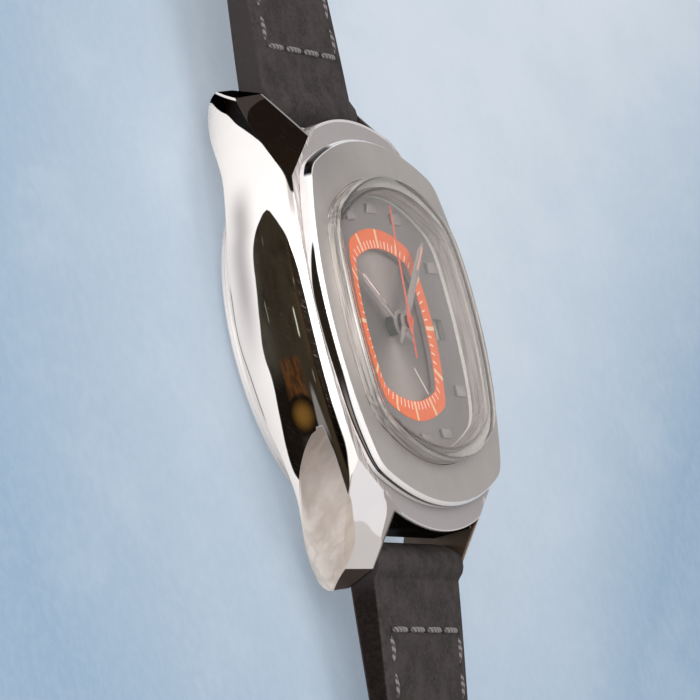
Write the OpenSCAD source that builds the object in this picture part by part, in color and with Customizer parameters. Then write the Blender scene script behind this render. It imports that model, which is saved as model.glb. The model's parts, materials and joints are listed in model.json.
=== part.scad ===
/* [Case] */
// Width of the case from 9 to 3 o'clock, without the crowns
case_w = 37; // [36:0.5:40]
// Length over the lugs
lug_span = 44.6; // [43.6:0.2:47]
// Radius of each flank, seen from the dial side
flank_r = 46.75; // [42:0.25:56]
// Radius of the belly of the flank, seen in section
belly_r = 7.2; // [6.6:0.1:9]
// Radius of the shoulder's edge between the lugs
shoulder_r = 31; // [26:1:40]
// Width of the bevel along the top of the flank
ridge_bevel = 0.5; // [0.2:0.05:0.8]
// Distance from 9 o'clock to where each lug's facet starts, along the case
facet_y = 12.3; // [11.8:0.1:13.2]
// Tilt of the lug's facet from level
facet_tilt = 40.7; // [38:0.1:45]
// Radius of the movement's round bore
bore_r = 14.2; // [14.2:0.1:14.6]
// Radius of the round base that carries the back
base_r = 15.5; // [15.4:0.1:15.9]

/* [Bezel and crystal] */
// Distance from the case's side at 9 o'clock to the bezel's
bezel_margin = 0.7; // [0.5:0.1:1]
// Half of the bezel's height, from 12 to 6 o'clock
bezel_hh = 16.55; // [16.2:0.05:16.9]
// Height of the bezel
bezel_t = 1.15; // [0.8:0.05:1.6]
// Half of the crystal's width
crystal_hw = 14.9; // [14.6:0.1:15.2]
// Half of the crystal's height, from 12 to 6 o'clock
crystal_hh = 12.9; // [12.6:0.1:13.2]
// Thickness of the crystal's wall
crystal_wall = 1.1; // [0.8:0.05:1.2]
// Thickness of the crystal's top
crystal_t = 1.3; // [1:0.05:1.6]
// Height of the crystal's edge above the bezel
crystal_edge = 1.35; // [1:0.05:1.8]
// Rise of the dome above the crystal's edge
dome_h = 0.5; // [0.3:0.05:0.9]

/* [Heights of the stack] */
// Thickness of the back's floor
back_t = 0.9; // [0.7:0.05:1.2]
// Thickness of the rotor's rim
rotor_t = 1.05; // [0.8:0.05:1.4]
// Thickness of the rotor's bridge
rotor_bridge_t = 0.5; // [0.4:0.05:0.7]
// Thickness of the bridges
bridge_t = 0.9; // [0.8:0.05:1.2]
// Room for the wheels between the bridges and the main plate
train_h = 1.9; // [1.9:0.05:2.2]
// Thickness of the main plate
plate_t = 1.4; // [1.3:0.05:1.8]
// Room for the motion work under the dial
motion_h = 1.2; // [1.2:0.05:1.5]
// Thickness of the dial plate
dial_t = 0.4; // [0.3:0.05:0.5]
// Height of the shoulder above the dial
shoulder_h = 0.8; // [0.7:0.05:1.2]

/* [Dial and hands] */
// Half of the orange ring's width at its outer edge
ring_hw = 8.76; // [8.6:0.02:9]
// Half of the orange ring's height at its outer edge
ring_hh = 8.66; // [8.6:0.02:9]
// Breadth of the orange ring
ring_w = 1.8; // [1.5:0.05:2]
// Radius of the alarm disc
alarm_disc_r = 8.2; // [8.1:0.02:8.3]
// Width of a marker
marker_w = 2.3; // [1.8:0.1:2.4]
// Length of a marker
marker_l = 0.95; // [0.8:0.05:1.3]
// Height of a marker
marker_h = 0.3; // [0.2:0.05:0.33]
// Length of the hour hand from the centre
hour_l = 8; // [6.5:0.1:8.2]
// Length of the minute hand from the centre
minute_l = 11.3; // [10:0.1:11.4]
// Length of the seconds hand from the centre
seconds_l = 10.5; // [9:0.1:11.2]
// Height of the hour hand above the dial
hour_lift = 0.35; // [0.3:0.05:0.45]
// Height of the minute hand above the dial
minute_lift = 0.85; // [0.8:0.05:0.95]
// Height of the seconds hand above the dial
seconds_lift = 1.3; // [1.25:0.05:1.4]
// Angle of the hour hand, clockwise from 12
hour_turn = 304.2; // [0:0.1:360]
// Angle of the minute hand, clockwise from 12
minute_turn = 48; // [0:0.5:360]
// Angle of the seconds hand, clockwise from 12
seconds_turn = 8; // [0:0.5:360]

/* [Crowns] */
// Radius of a crown
crown_r = 2.3; // [2:0.05:2.4]
// Length of a crown
crown_l = 3; // [2.4:0.1:3.6]
// Angle of each crown above and below 3 o'clock
crown_turn = 30; // [27:1:33]
// Radius of a winding stem
stem_r = 0.42; // [0.35:0.01:0.45]
// Notches round a crown
crown_notches = 24; // [16:1:30]

/* [Strap] */
// Width of the strap between the lugs
strap_w = 20; // [20:0.1:20.6]
// Width of the strap at the buckle
strap_end_w = 16; // [14:0.5:18]
// Thickness of the strap at the lugs
strap_t = 2.8; // [2.4:0.05:3]
// Thickness of the strap's thin part
strap_end_t = 2; // [1.6:0.05:2.2]
// Length of the half with the buckle
strap_upper_l = 75; // [70:1:85]
// Length of the half with the holes
strap_lower_l = 115; // [108:1:125]
// Radius of the spring bars
bar_r = 0.75; // [0.6:0.05:0.85]
// Number of buckle holes
hole_count = 7; // [5:1:8]
// Distance between buckle holes
hole_pitch = 6.5; // [5:0.25:7]
// Radius of a buckle hole
hole_r = 1; // [0.8:0.05:1.2]
// Width of a keeper along the strap
keeper_w = 4.6; // [4:0.2:6]
// Thickness of a keeper's leather
keeper_t = 1.1; // [0.9:0.05:1.3]
// Length of the buckle from its pin to the far edge
buckle_l = 10; // [9:0.5:12]
// Thickness of the buckle's frame
buckle_t = 1.8; // [1.4:0.1:2]

/* [Hidden] */
$fn = 64;

// Clearances: pieces that turn or slide, pieces that only sit beside each other, pressed pieces
run_fit = 0.05;
loose_fit = 0.1;
seat_fit = 0.03;
// Overlap of a cutter past the face that it opens
past = 0.5;

// Heights above the back's flat face, from the back to the top of the crystal
seat_z = back_t + 0.1;
rotor_z = seat_z + 0.25;
rotor_bridge_z = rotor_z + rotor_t + 0.3;
bridge_z = rotor_bridge_z + rotor_bridge_t + 0.3;
train_z = bridge_z + bridge_t;
plate_z = train_z + train_h;
motion_z = plate_z + plate_t;
dial_seat_z = motion_z + motion_h;
dial_z = dial_seat_z + dial_t;
shoulder_z = dial_z + shoulder_h;
bezel_z = shoulder_z + bezel_t;
crystal_edge_z = bezel_z + crystal_edge;
gasket_t = 0.3;
crystal_foot_z = dial_z + gasket_t;
crown_z = plate_z + plate_t / 2;

// Outlines of the rounded-square pieces: half width, half height, side radius, end radius, corner
bezel_line = [case_w / 2 - bezel_margin, bezel_hh, 27, 34, 3.6];
crystal_line = [crystal_hw, crystal_hh, 30, 24, 5];
ring_line = [ring_hw, ring_hh, 17, 17, 1.6];
ring_hole = [ring_hw - ring_w, ring_hh - ring_w, 15, 15, 1.3];
bezel_bevel = 0.3;
arc_steps = 6;

// Section of the flank: height of its widest line and of the bevel above it
flank_mid_z = shoulder_z - 2.8;
ridge_z = shoulder_z - 1;
flank_off = flank_r - case_w / 2;
belly_steps = 9;

// Underside of the case along Y: the belly, the arch beside the base and the lug tips
belly_z = seat_z + 0.3;
arch_z = seat_z + 2.2;
arch_y = 13.5;
tip_z = seat_z + 0.4;
tip_r = 1.8;
tip_y = lug_span / 2 - tip_r;
under_steps = 8;

// Space between the lugs
bar_y = lug_span / 2 - 2.3;
gap_hw = strap_w / 2 + 0.05;
gap_wall_y = bar_y - 2.7;
lip_z = shoulder_z - 0.9;
shoulder_y = bar_y - 1.4;
bar_z = shoulder_z - 4.35;
bar_tip_r = 0.45;
bar_tip_l = 0.9;

// Crowns: where the flank stands along the crown's axis, and what follows from it
crown_reach = sqrt(flank_r * flank_r - pow(flank_off * sin(crown_turn), 2))
    - flank_off * cos(crown_turn);
crown_sink = 0.7;
tube_r = 1;
seal_r = 0.17;
pocket_depth = 1.5;
stem_end = 8.6;
clutch_from = 10.6;
clutch_l = 1.2;
clutch_r = 0.66;

// Movement: wheel centres, radii and pivots
plate_r = bore_r - 1;
barrel_at = [-7, 2.2];
great_at = [-3.9, -2];
third_at = [-0.6, -3.14];
escape_at = [2.6, -1.5];
pallet_at = [4.04, -3.54];
balance_at = [6.2, -6.6];
alarm_barrel_at = [6.4, 5.4];
strike_at = [1.9, 6.6];
hammer_at = [-2.6, 9.4];
minute_wheel_at = [2.6, 1.17];
pivot_r = 0.16;
jewel_r = 0.55;
jewel_t = 0.4;
train_feet = [[5.6, -0.1], [-2.6, -8]];
barrel_feet = [[-11.2, -3.2], [-6.4, 9.6]];
alarm_feet = [[11.4, 0.2], [1.2, 11.2]];
cock_feet = [[1.6, -10.6]];
foot_r = 0.9;
screw_r = 0.35;
screw_head_r = 0.65;
screw_head_h = 0.3;
seconds_arbor_r = 0.25;
cannon_r = 0.55;
hour_tube_r = 0.85;
alarm_hub_r = 1.3;
rotor_post_r = 0.8;
rotor_r = bore_r - 1.6;
gong_r = bore_r - 0.2;
gong_w = 0.7;
gong_h = 1.2;

// Alarm disc and date disc under the dial
disc_t = 0.2;
alarm_disc_z = dial_seat_z - 0.15 - disc_t;
date_disc_z = dial_seat_z - 0.25 - disc_t;
date_in_r = alarm_disc_r + 0.5;
date_out_r = date_in_r + 3.4;
date_x = ring_hw + 1.45;
date_w = 2;
date_h = 1.9;

// Strap: where each half bends down and lies flat
strap_slope_up = tan(3.6);
strap_slope_down = tan(6.9);
strap_straight = 12;
upper_fall = 42;
lower_fall = 30;
upper_flat_y = bar_y + upper_fall;
lower_flat_y = bar_y + lower_fall;
upper_flat_z = keeper_t + strap_end_t / 2;
lower_flat_z = strap_end_t / 2;
thin_after = 20;
taper_from = 2;
taper_to = 40;
strap_steps = 20;
pin_y = bar_y + strap_upper_l;
lower_end_y = bar_y + strap_lower_l;
first_hole = 22;
pin_r = 0.55;
pin_loop_r = strap_end_t / 2 + 0.15;
hump_out = 0.6;
hump_up = 0.35;
hump_r = strap_t / 2 + 0.2;
tongue_w = 1.8;
tongue_t = 0.8;
frame_arm = 1.6;
frame_corner = 3;
frame_bar = 2;
keeper_room = strap_end_t + 0.3;
keeper_side = 0.2;
fixed_keeper_back = 10;
keepers_apart = 4;
fixed_keeper_y = pin_y - fixed_keeper_back;
sliding_keeper_y = fixed_keeper_y - keeper_w - keepers_apart;

// Corner circle of an outline touches its side and end arcs from inside
function corner_of(o) =
    let (side = [o[0] - o[2], 0], end = [0, o[1] - o[3]], a = o[2] - o[4], b = o[3] - o[4],
        d = end - side, far = norm(d), x = (a * a - b * b + far * far) / (2 * far),
        h = sqrt(a * a - x * x))
    side + d / far * x + [-d[1], d[0]] / far * h;
function arc(c, r, from, to, n) =
    [for (i = [0 : n - 1]) let (t = from + (to - from) * i / n) c + r * [cos(t), sin(t)]];
function quarter(o) =
    let (c = corner_of(o), side = [o[0] - o[2], 0], end = [0, o[1] - o[3]],
        t1 = atan2(c[1], c[0] - side[0]), t2 = atan2(c[1] - end[1], c[0]))
    concat(arc(side, o[2], 0, t1, arc_steps), arc(c, o[4], t1, t2, arc_steps),
        arc(end, o[3], t2, 90, arc_steps), [[0, o[1]]]);
function cushion(o) =
    let (q = quarter(o), last = len(q) - 1)
    concat([for (i = [0 : last - 1]) q[i]],
        [for (i = [last : -1 : 1]) [-q[i][0], q[i][1]]],
        [for (i = [0 : last - 1]) -q[i]],
        [for (i = [last : -1 : 1]) [q[i][0], -q[i][1]]]);
// A parallel outline, d further in
function inset(o, d) = [for (v = o) v - d];
function ease(t) = (1 - cos(180 * t)) / 2;

function gear_line(r, teeth, depth) =
    [for (i = [0 : teeth - 1], k = [[0, 0], [0.15, 1], [0.5, 1], [0.65, 0]])
        let (t = 360 * (i + k[0]) / teeth, q = r - depth * (1 - k[1])) q * [cos(t), sin(t)]];

module gear(at, z, t, r, teeth, depth = 0.25) {
    translate([at[0], at[1], z]) linear_extrude(t) polygon(gear_line(r, teeth, depth));
}

module rod(at, z0, z1, r) {
    translate([at[0], at[1], z0]) cylinder(h = z1 - z0, r = r);
}

module tube(at, z0, z1, r_out, r_in) {
    difference() {
        rod(at, z0, z1, r_out);
        rod(at, z0 - past, z1 + past, r_in);
    }
}

module cushion_slab(o, z0, z1) {
    translate([0, 0, z0]) linear_extrude(z1 - z0) polygon(cushion(o));
}

module both_ends() {
    children();
    mirror([0, 1, 0]) children();
}

module four_lugs() {
    both_ends() children();
    mirror([1, 0, 0]) both_ends() children();
}

// Lies along the axis of a crown: side is 1 for the alarm crown and -1 for the time crown
module crown_axis(side, from) {
    rotate([0, 0, side * crown_turn]) translate([from, 0, crown_z]) rotate([0, 90, 0]) children();
}

// A plate arm between two points, with round ends a little wider than the arm
module arm(a, b, w) {
    d = b - a;
    waist = 0.9 * w;
    translate(a) circle(d = w);
    translate(b) circle(d = w);
    translate(a) rotate(atan2(d[1], d[0])) translate([0, -waist / 2]) square([norm(d), waist]);
}

// Case

function flank_x(y) = sqrt(flank_r * flank_r - y * y) - flank_off;

// Section of the flank about the flank's own upright axis
module flank_section() {
    polygon(concat([[0, 0]],
        [for (i = [0 : belly_steps])
            let (z = flank_mid_z * i / belly_steps, dz = flank_mid_z - z)
            [flank_r - belly_r + sqrt(belly_r * belly_r - dz * dz * 0.98), z]],
        [[flank_r, ridge_z], [flank_r - ridge_bevel, shoulder_z], [0, shoulder_z]]));
}

module flank_solid() {
    translate([flank_off, 0, 0]) rotate_extrude($fn = 180) flank_section();
}

function under_z(y) = y < arch_y
    ? belly_z + (arch_z - belly_z) * ease(y / arch_y)
    : arch_z - (arch_z - tip_z) * ease((y - arch_y) / (tip_y - arch_y));

module side_profile() {
    under = concat(
        [for (i = [0 : under_steps - 1]) let (y = arch_y * i / under_steps) [y, under_z(y)]],
        [for (i = [0 : under_steps]) let (y = arch_y + (tip_y - arch_y) * i / under_steps)
            [y, under_z(y)]],
        [for (i = [1 : 5]) [tip_y, tip_z + tip_r] + tip_r * [sin(18 * i), -cos(18 * i)]]);
    n = len(under);
    polygon(concat(under, [[tip_y + tip_r, shoulder_z + past], [-tip_y - tip_r, shoulder_z + past]],
        [for (i = [n - 1 : -1 : 1]) [-under[i][0], under[i][1]]]));
}

// A cutter that takes away all above a plane through p, whose normal tilts from +Z and turns about it
module above_plane(p, tilt, turn) {
    reach = 30;
    translate(p) rotate([0, tilt, turn]) translate([-reach, -reach, 0]) cube([2 * reach, 2 * reach, reach]);
}

module lug_cuts() {
    facet_turn = 123.3;
    end_tilt = 69.3;
    end_turn = 103.9;
    end_drop = 2.9;
    end_back = 1.2;
    four_lugs() {
        above_plane([-flank_x(facet_y), facet_y, shoulder_z - 0.1], facet_tilt, facet_turn);
        above_plane([-gap_hw, lug_span / 2 - end_back, shoulder_z - end_drop], end_tilt, end_turn);
    }
}

module strap_gap() {
    far = lug_span;
    both_ends() {
        difference() {
            translate([-gap_hw, gap_wall_y, lip_z - past])
                cube([2 * gap_hw, far, shoulder_z - lip_z + 2 * past]);
            translate([0, shoulder_y - shoulder_r, 0])
                cylinder(h = 2 * shoulder_z, r = shoulder_r, $fn = 180);
        }
        translate([-gap_hw, 0, 0]) rotate([90, 0, 90]) linear_extrude(2 * gap_hw)
            polygon([[gap_wall_y, lip_z], [gap_wall_y, shoulder_z / 2], [base_r + 0.4, seat_z],
                [base_r + 0.4, -past], [far, -past], [far, lip_z]]);
    }
}

module case_middle() {
    color("silver") difference() {
        union() {
            intersection() {
                flank_solid();
                mirror([1, 0, 0]) flank_solid();
                translate([-case_w, 0, 0]) rotate([90, 0, 90]) linear_extrude(2 * case_w) side_profile();
            }
            rod([0, 0], seat_z, arch_z + 0.6, base_r);
        }
        lug_cuts();
        strap_gap();
        rod([0, 0], seat_z - past, dial_seat_z, bore_r);
        cushion_slab(inset(crystal_line, -loose_fit), dial_seat_z, shoulder_z + past);
        back_groove();
        both_ends() translate([0, bar_y, bar_z]) rotate([0, 90, 0])
            cylinder(h = 2 * (gap_hw + bar_tip_l), r = bar_tip_r + run_fit, center = true, $fn = 32);
        for (side = [-1, 1]) {
            crown_axis(side, bore_r - 1) cylinder(h = case_w, r = tube_r, $fn = 32);
            crown_axis(side, crown_reach - crown_sink) cylinder(h = case_w, r = crown_r + 0.2);
        }
    }
}

back_gasket_r = (bore_r + base_r) / 2 - 0.1;
back_gasket_wire = 0.22;

module back_groove() {
    rotate_extrude() translate([back_gasket_r - back_gasket_wire - 0.03, seat_z - past])
        square([2 * back_gasket_wire + 0.06, 2 * back_gasket_wire + past]);
}

module back_gasket() {
    color("dimgray") rotate_extrude() translate([back_gasket_r, seat_z + back_gasket_wire])
        circle(r = back_gasket_wire, $fn = 24);
}

// The back: a flat bottom, a domed rim and a spigot that fits the bore
module case_back() {
    rim_r = base_r - 0.1;
    flat_r = 10;
    spigot_r = bore_r - seat_fit;
    spigot_in = bore_r - 1;
    spigot_h = 1;
    dome = [for (i = [0 : 10]) let (t = i / 10)
        [flat_r + (rim_r - flat_r) * sin(90 * t), seat_z * 0.8 * (1 - cos(90 * t))]];
    color("silver") rotate_extrude($fn = 128) polygon(concat([[0, 0]], dome,
        [[rim_r, seat_z], [spigot_r, seat_z], [spigot_r, seat_z + spigot_h],
            [spigot_in, seat_z + spigot_h], [spigot_in, back_t], [0, back_t]]));
}

// Bezel: straight side, polished bevel and flat top
module bezel() {
    steps = 3;
    color("lightgray") difference() {
        union() {
            cushion_slab(bezel_line, shoulder_z, bezel_z - bezel_bevel);
            hull() {
                cushion_slab(bezel_line, bezel_z - bezel_bevel - 0.01, bezel_z - bezel_bevel);
                cushion_slab(inset(bezel_line, bezel_bevel * 0.8), bezel_z - 0.01, bezel_z);
            }
        }
        cushion_slab(inset(crystal_line, -seat_fit), shoulder_z - past, bezel_z + past);
    }
}

// Crystal: an upright wall under a low dome, hollow below
module crystal() {
    top_z = crystal_edge_z + dome_h;
    dome_r = (crystal_hh * crystal_hh + dome_h * dome_h) / (2 * dome_h);
    color("lightcyan", 0.4) intersection() {
        difference() {
            cushion_slab(crystal_line, crystal_foot_z, top_z);
            intersection() {
                cushion_slab(inset(crystal_line, crystal_wall), crystal_foot_z - past, top_z);
                crystal_dome(top_z - crystal_t, dome_r);
            }
        }
        crystal_dome(top_z, dome_r);
    }
}

module crystal_dome(top, r) {
    translate([0, 0, top - r]) rotate_extrude($fn = 128) intersection() {
        circle(r = r, $fn = 720);
        translate([0, r - 6]) square([crystal_hw + crystal_hh, 6]);
    }
}

module crystal_gasket() {
    color("whitesmoke") difference() {
        cushion_slab(inset(crystal_line, seat_fit), dial_z, crystal_foot_z);
        cushion_slab(inset(crystal_line, crystal_wall - 0.1), dial_z - past, crystal_foot_z + past);
    }
}

// Dial

module date_window(z0, z1, grow = 0) {
    translate([date_x - date_w / 2 - grow, -date_h / 2 - grow, z0])
        cube([date_w + 2 * grow, date_h + 2 * grow, z1 - z0]);
}

module dial_plate() {
    color("dimgray") difference() {
        cushion_slab(inset(crystal_line, seat_fit), dial_seat_z, dial_z);
        cushion_slab(ring_hole, dial_seat_z - past, dial_z + past);
        date_window(dial_seat_z - past, dial_z + past);
    }
}

ring_t = 0.06;

module minute_ring() {
    color("darkorange") difference() {
        cushion_slab(ring_line, dial_z, dial_z + ring_t);
        cushion_slab(ring_hole, dial_z - past, dial_z + past);
    }
}

// Markers stand midway between the orange ring and the crystal's wall, none at the date
module hour_markers() {
    room = inset(crystal_line, crystal_wall);
    reach = [room[1] + ring_hh + 0.6, room[0] + ring_hw + 0.6] / 2;
    color("silver") for (h = [0 : 11]) if (h != 3) {
        s = sin(30 * h);
        c = cos(30 * h);
        along = max(abs(s), abs(c));
        at = abs(c) > abs(s) ? [reach[0] * s / abs(c) * 0.9, reach[0] * sign(c) * (1 - 0.3 * s * s)]
            : [reach[1] * sign(s) * (1 - 0.08 * c * c), reach[1] * c / along * 0.84];
        translate([at[0] - marker_w / 2, at[1] - marker_l / 2, dial_z]) cube([marker_w, marker_l, marker_h]);
    }
}

module alarm_disc() {
    hub_drop = 0.1;
    color("gray") difference() {
        union() {
            rod([0, 0], alarm_disc_z, alarm_disc_z + disc_t, alarm_disc_r);
            rod([0, 0], alarm_disc_z - hub_drop, alarm_disc_z, alarm_hub_r);
        }
        rod([0, 0], alarm_disc_z - 1, alarm_disc_z + 1, hour_tube_r + run_fit);
    }
}

module date_disc() {
    teeth = 31;
    color("white") difference() {
        rod([0, 0], date_disc_z, date_disc_z + disc_t, date_out_r);
        translate([0, 0, date_disc_z - past]) linear_extrude(1 + past)
            polygon(gear_line(date_in_r + 0.25, teeth, 0.25));
    }
}

// Hands. Each is drawn along +Y and turned clockwise.

hand_t = 0.12;
hand_boss_h = 0.25;

module hour_hand() {
    w = 1.1;
    tail = 1.9;
    z = dial_z + hour_lift;
    color("silver") rotate(-hour_turn) difference() {
        union() {
            translate([0, 0, z]) linear_extrude(hand_t) polygon([[-w * 0.3, -tail], [w * 0.3, -tail],
                [w / 2, 1.5], [w / 2, hour_l - 0.9], [0, hour_l], [-w / 2, hour_l - 0.9], [-w / 2, 1.5]]);
            rod([0, 0], z, z + hand_boss_h, hour_tube_r + 0.35);
        }
        rod([0, 0], z - past, z + past, hour_tube_r);
    }
}

module minute_hand() {
    w = 1.2;
    tail = 2.2;
    z = dial_z + minute_lift;
    color("silver") rotate(-minute_turn) difference() {
        union() {
            translate([0, 0, z]) linear_extrude(hand_t) polygon([[-w * 0.3, -tail], [w * 0.3, -tail],
                [w / 2, 1.5], [w / 2, minute_l - 0.9], [0, minute_l], [-w / 2, minute_l - 0.9],
                [-w / 2, 1.5]]);
            rod([0, 0], z, z + hand_boss_h, cannon_r + 0.3);
        }
        rod([0, 0], z - past, z + past, cannon_r);
    }
}

module seconds_hand() {
    w = 0.26;
    lozenge = 0.55;
    tail = 3.4;
    z = dial_z + seconds_lift;
    color("orangered") rotate(-seconds_turn) difference() {
        union() {
            translate([0, 0, z]) linear_extrude(hand_t) polygon([[-w / 2, -tail], [w / 2, -tail],
                [w / 2, -1.3], [lozenge, 0], [w / 2, 1.3], [w / 4, seconds_l], [-w / 4, seconds_l],
                [-w / 2, 1.3], [-lozenge, 0], [-w / 2, -1.3]]);
            rod([0, 0], z - 0.1, z + hand_boss_h, seconds_arbor_r + 0.2);
        }
        rod([0, 0], z - past, z + hand_t, seconds_arbor_r);
    }
}

// Movement plates

module gong_ring() {
    color("lightsteelblue") tube([0, 0], bridge_z + 0.25 - gong_h, bridge_z + 0.25, gong_r, gong_r - gong_w);
}

module movement_ring() {
    color("lightgray") difference() {
        tube([0, 0], bridge_z + 0.25, dial_seat_z, bore_r - loose_fit / 2, plate_r + seat_fit);
        for (side = [-1, 1]) crown_axis(side, plate_r - 1) cylinder(h = 4, r = tube_r, $fn = 32);
    }
}

module main_plate() {
    rim_in = date_out_r + 0.15;
    ledge_in = date_out_r - 0.8;
    pivots = [great_at, third_at, escape_at, pallet_at, balance_at, strike_at, hammer_at];
    color("khaki") difference() {
        union() {
            rod([0, 0], plate_z, motion_z, plate_r);
            tube([0, 0], motion_z, date_disc_z + disc_t, plate_r, rim_in);
            tube([0, 0], motion_z, date_disc_z - run_fit, date_out_r, ledge_in);
            rod(minute_wheel_at, motion_z, motion_z + 0.7, 0.2);
        }
        rod([0, 0], plate_z - past, motion_z + past, seconds_arbor_r + run_fit);
        for (p = pivots) rod(p, plate_z - past, plate_z + jewel_t, jewel_r);
        for (p = [barrel_at, alarm_barrel_at]) rod(p, plate_z - past, plate_z + 0.6, 0.6 + run_fit);
        for (p = all_feet) rod(p, plate_z - past, plate_z + plate_t * 0.7, screw_r);
        for (side = [-1, 1]) {
            crown_axis(side, stem_end - 0.2) cylinder(h = plate_r, r = stem_r + 0.08, $fn = 32);
            crown_axis(side, clutch_from - loose_fit)
                cylinder(h = clutch_l + 2 * loose_fit, r = clutch_r + 0.09, $fn = 32);
        }
    }
}

all_feet = concat(train_feet, barrel_feet, alarm_feet, cock_feet);

// A bridge: arms, pillars down to the main plate, screw holes, jewel seats and pivot windows
module bridge(arms, feet, pivots, w, posts = []) {
    difference() {
        union() {
            translate([0, 0, bridge_z]) linear_extrude(bridge_t) for (a = arms) arm(a[0], a[1], w);
            for (p = feet) rod(p, bridge_z, plate_z, foot_r);
        }
        for (p = feet) rod(p, bridge_z - past, plate_z + past, screw_r);
        for (p = pivots) rod(p, train_z - jewel_t, train_z + past, jewel_r);
        for (p = posts) rod(p, bridge_z - past, train_z + past, 0.6 + run_fit);
    }
}

module train_bridge() {
    c = [0, 0];
    color("gold") bridge([[c, train_feet[0]], [c, great_at], [c, third_at], [third_at, train_feet[1]],
        [c, escape_at], [escape_at, pallet_at]], train_feet,
        [c, great_at, third_at, escape_at, pallet_at], 1.8);
}

module barrel_bridge() {
    color("gold") bridge([[barrel_feet[0], barrel_at], [barrel_at, barrel_feet[1]]], barrel_feet, [],
        2.6, [barrel_at]);
}

module alarm_bridge() {
    color("gold") bridge([[alarm_feet[0], alarm_barrel_at], [alarm_barrel_at, strike_at],
        [strike_at, alarm_feet[1]], [strike_at, hammer_at]], alarm_feet, [strike_at, hammer_at], 2.2,
        [alarm_barrel_at]);
}

module balance_cock() {
    color("gold") bridge([[cock_feet[0], balance_at]], cock_feet, [balance_at], 2);
}

// The rotor's bridge stands on the outer feet of the barrel and alarm bridges
module rotor_bridge() {
    ends = [barrel_feet[0], alarm_feet[0]];
    color("goldenrod") difference() {
        union() {
            translate([0, 0, rotor_bridge_z]) linear_extrude(rotor_bridge_t)
                for (p = ends) arm([0, 0], p, 2.4);
            for (p = ends) rod(p, rotor_bridge_z, bridge_z, foot_r);
            rod([0, 0], rotor_z - 0.05, rotor_bridge_z, rotor_post_r);
        }
        for (p = ends) rod(p, rotor_bridge_z - past, bridge_z + past, screw_r);
    }
}

module jewels() {
    train = [great_at, third_at, escape_at, pallet_at, balance_at, strike_at, hammer_at];
    color("crimson") {
        for (p = train) tube(p, plate_z, plate_z + jewel_t, jewel_r, pivot_r + 0.02);
        for (p = train) tube(p, train_z - jewel_t, train_z, jewel_r, pivot_r + 0.02);
        tube([0, 0], train_z - jewel_t, train_z, jewel_r, seconds_arbor_r + 0.02);
    }
}

module screw(p, head_z, end_z) {
    rod(p, head_z - screw_head_h, head_z, screw_head_r);
    rod(p, head_z, end_z, screw_r);
}

module movement_screws() {
    end = plate_z + plate_t * 0.6;
    color("steelblue") {
        for (p = [train_feet[0], train_feet[1], barrel_feet[1], alarm_feet[1], cock_feet[0]])
            screw(p, bridge_z, end);
        for (p = [barrel_feet[0], alarm_feet[0]]) screw(p, rotor_bridge_z, end);
    }
}

// Wheels

barrel_top = plate_z - 0.2;
barrel_low = train_z + 0.55;
barrel_teeth_z = train_z + 1;

module arbor(p) {
    rod(p, train_z - jewel_t + 0.05, plate_z + jewel_t - 0.05, pivot_r);
}

module drum(at, r, teeth) {
    difference() {
        union() {
            rod(at, barrel_low, barrel_top, r - 0.4);
            gear(at, barrel_teeth_z, 0.3, r, teeth);
        }
        rod(at, barrel_low - past, barrel_top + past, 0.6 + run_fit);
    }
}

module mainspring_barrel() {
    color("khaki") drum(barrel_at, 4.4, 60);
}

module alarm_barrel() {
    color("khaki") drum(alarm_barrel_at, 4, 54);
}

// A barrel's arbor and the ratchet wheel that winds it
module ratchet(at, r, teeth) {
    low = rotor_bridge_z + rotor_bridge_t + 0.05;
    gear(at, low, 0.2, r, teeth);
    rod(at, low + 0.1, plate_z + 0.5, 0.6);
}

module ratchet_wheel() {
    color("silver") ratchet(barrel_at, 3, 36);
}

module alarm_ratchet_wheel() {
    color("silver") ratchet(alarm_barrel_at, 2.8, 32);
}

module great_wheel() {
    color("khaki") {
        arbor(great_at);
        gear(great_at, train_z + 0.15, 0.2, 3, 48);
        gear(great_at, barrel_teeth_z - 0.05, 0.4, 0.78, 10);
    }
}

module third_wheel() {
    color("khaki") {
        arbor(third_at);
        gear(third_at, train_z + 0.1, 0.3, 0.46, 8, 0.15);
        gear(third_at, plate_z - 0.25, 0.15, 2.65, 45);
    }
}

// The fourth wheel's arbor passes through the plate and carries the seconds hand
module fourth_wheel() {
    top = dial_z + seconds_lift + hand_t;
    color("khaki") {
        rod([0, 0], train_z - jewel_t + 0.05, top, seconds_arbor_r);
        gear([0, 0], train_z + 0.7, 0.2, 2.55, 44);
        gear([0, 0], plate_z - 0.3, 0.25, 0.5, 8, 0.15);
    }
}

module escape_wheel() {
    color("lightgray") {
        arbor(escape_at);
        gear(escape_at, train_z + 0.6, 0.4, 0.4, 7, 0.12);
        gear(escape_at, plate_z - 0.55, 0.15, 1.85, 15, 0.45);
    }
}

module pallet_fork() {
    d = balance_at - pallet_at;
    color("silver") {
        arbor(pallet_at);
        translate([pallet_at[0], pallet_at[1], plate_z - 0.55]) rotate(atan2(d[1], d[0]))
            linear_extrude(0.15) {
                translate([-0.3, -1.5]) square([0.5, 3]);
                translate([0, -0.18]) square([2.8, 0.36]);
                translate([2.5, -0.4]) square([0.3, 0.8]);
                for (s = [-1, 1]) translate([2.7, s * 0.4 - 0.08]) square([0.35, 0.16]);
                for (s = [-1, 1]) translate([-0.6, s * 1.35 - 0.12]) square([0.4, 0.24]);
            }
    }
}

balance_r = 3.2;

module balance_wheel() {
    z = train_z + 0.7;
    t = 0.35;
    color("gold") {
        arbor(balance_at);
        tube(balance_at, z, z + t, balance_r, balance_r - 0.4);
        translate([balance_at[0], balance_at[1], z + 0.1]) linear_extrude(0.15) {
            square([2 * balance_r - 0.4, 0.45], center = true);
            circle(r = 0.6);
        }
        rod(balance_at, z + t, plate_z - 0.6, 0.45);
    }
}

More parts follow.
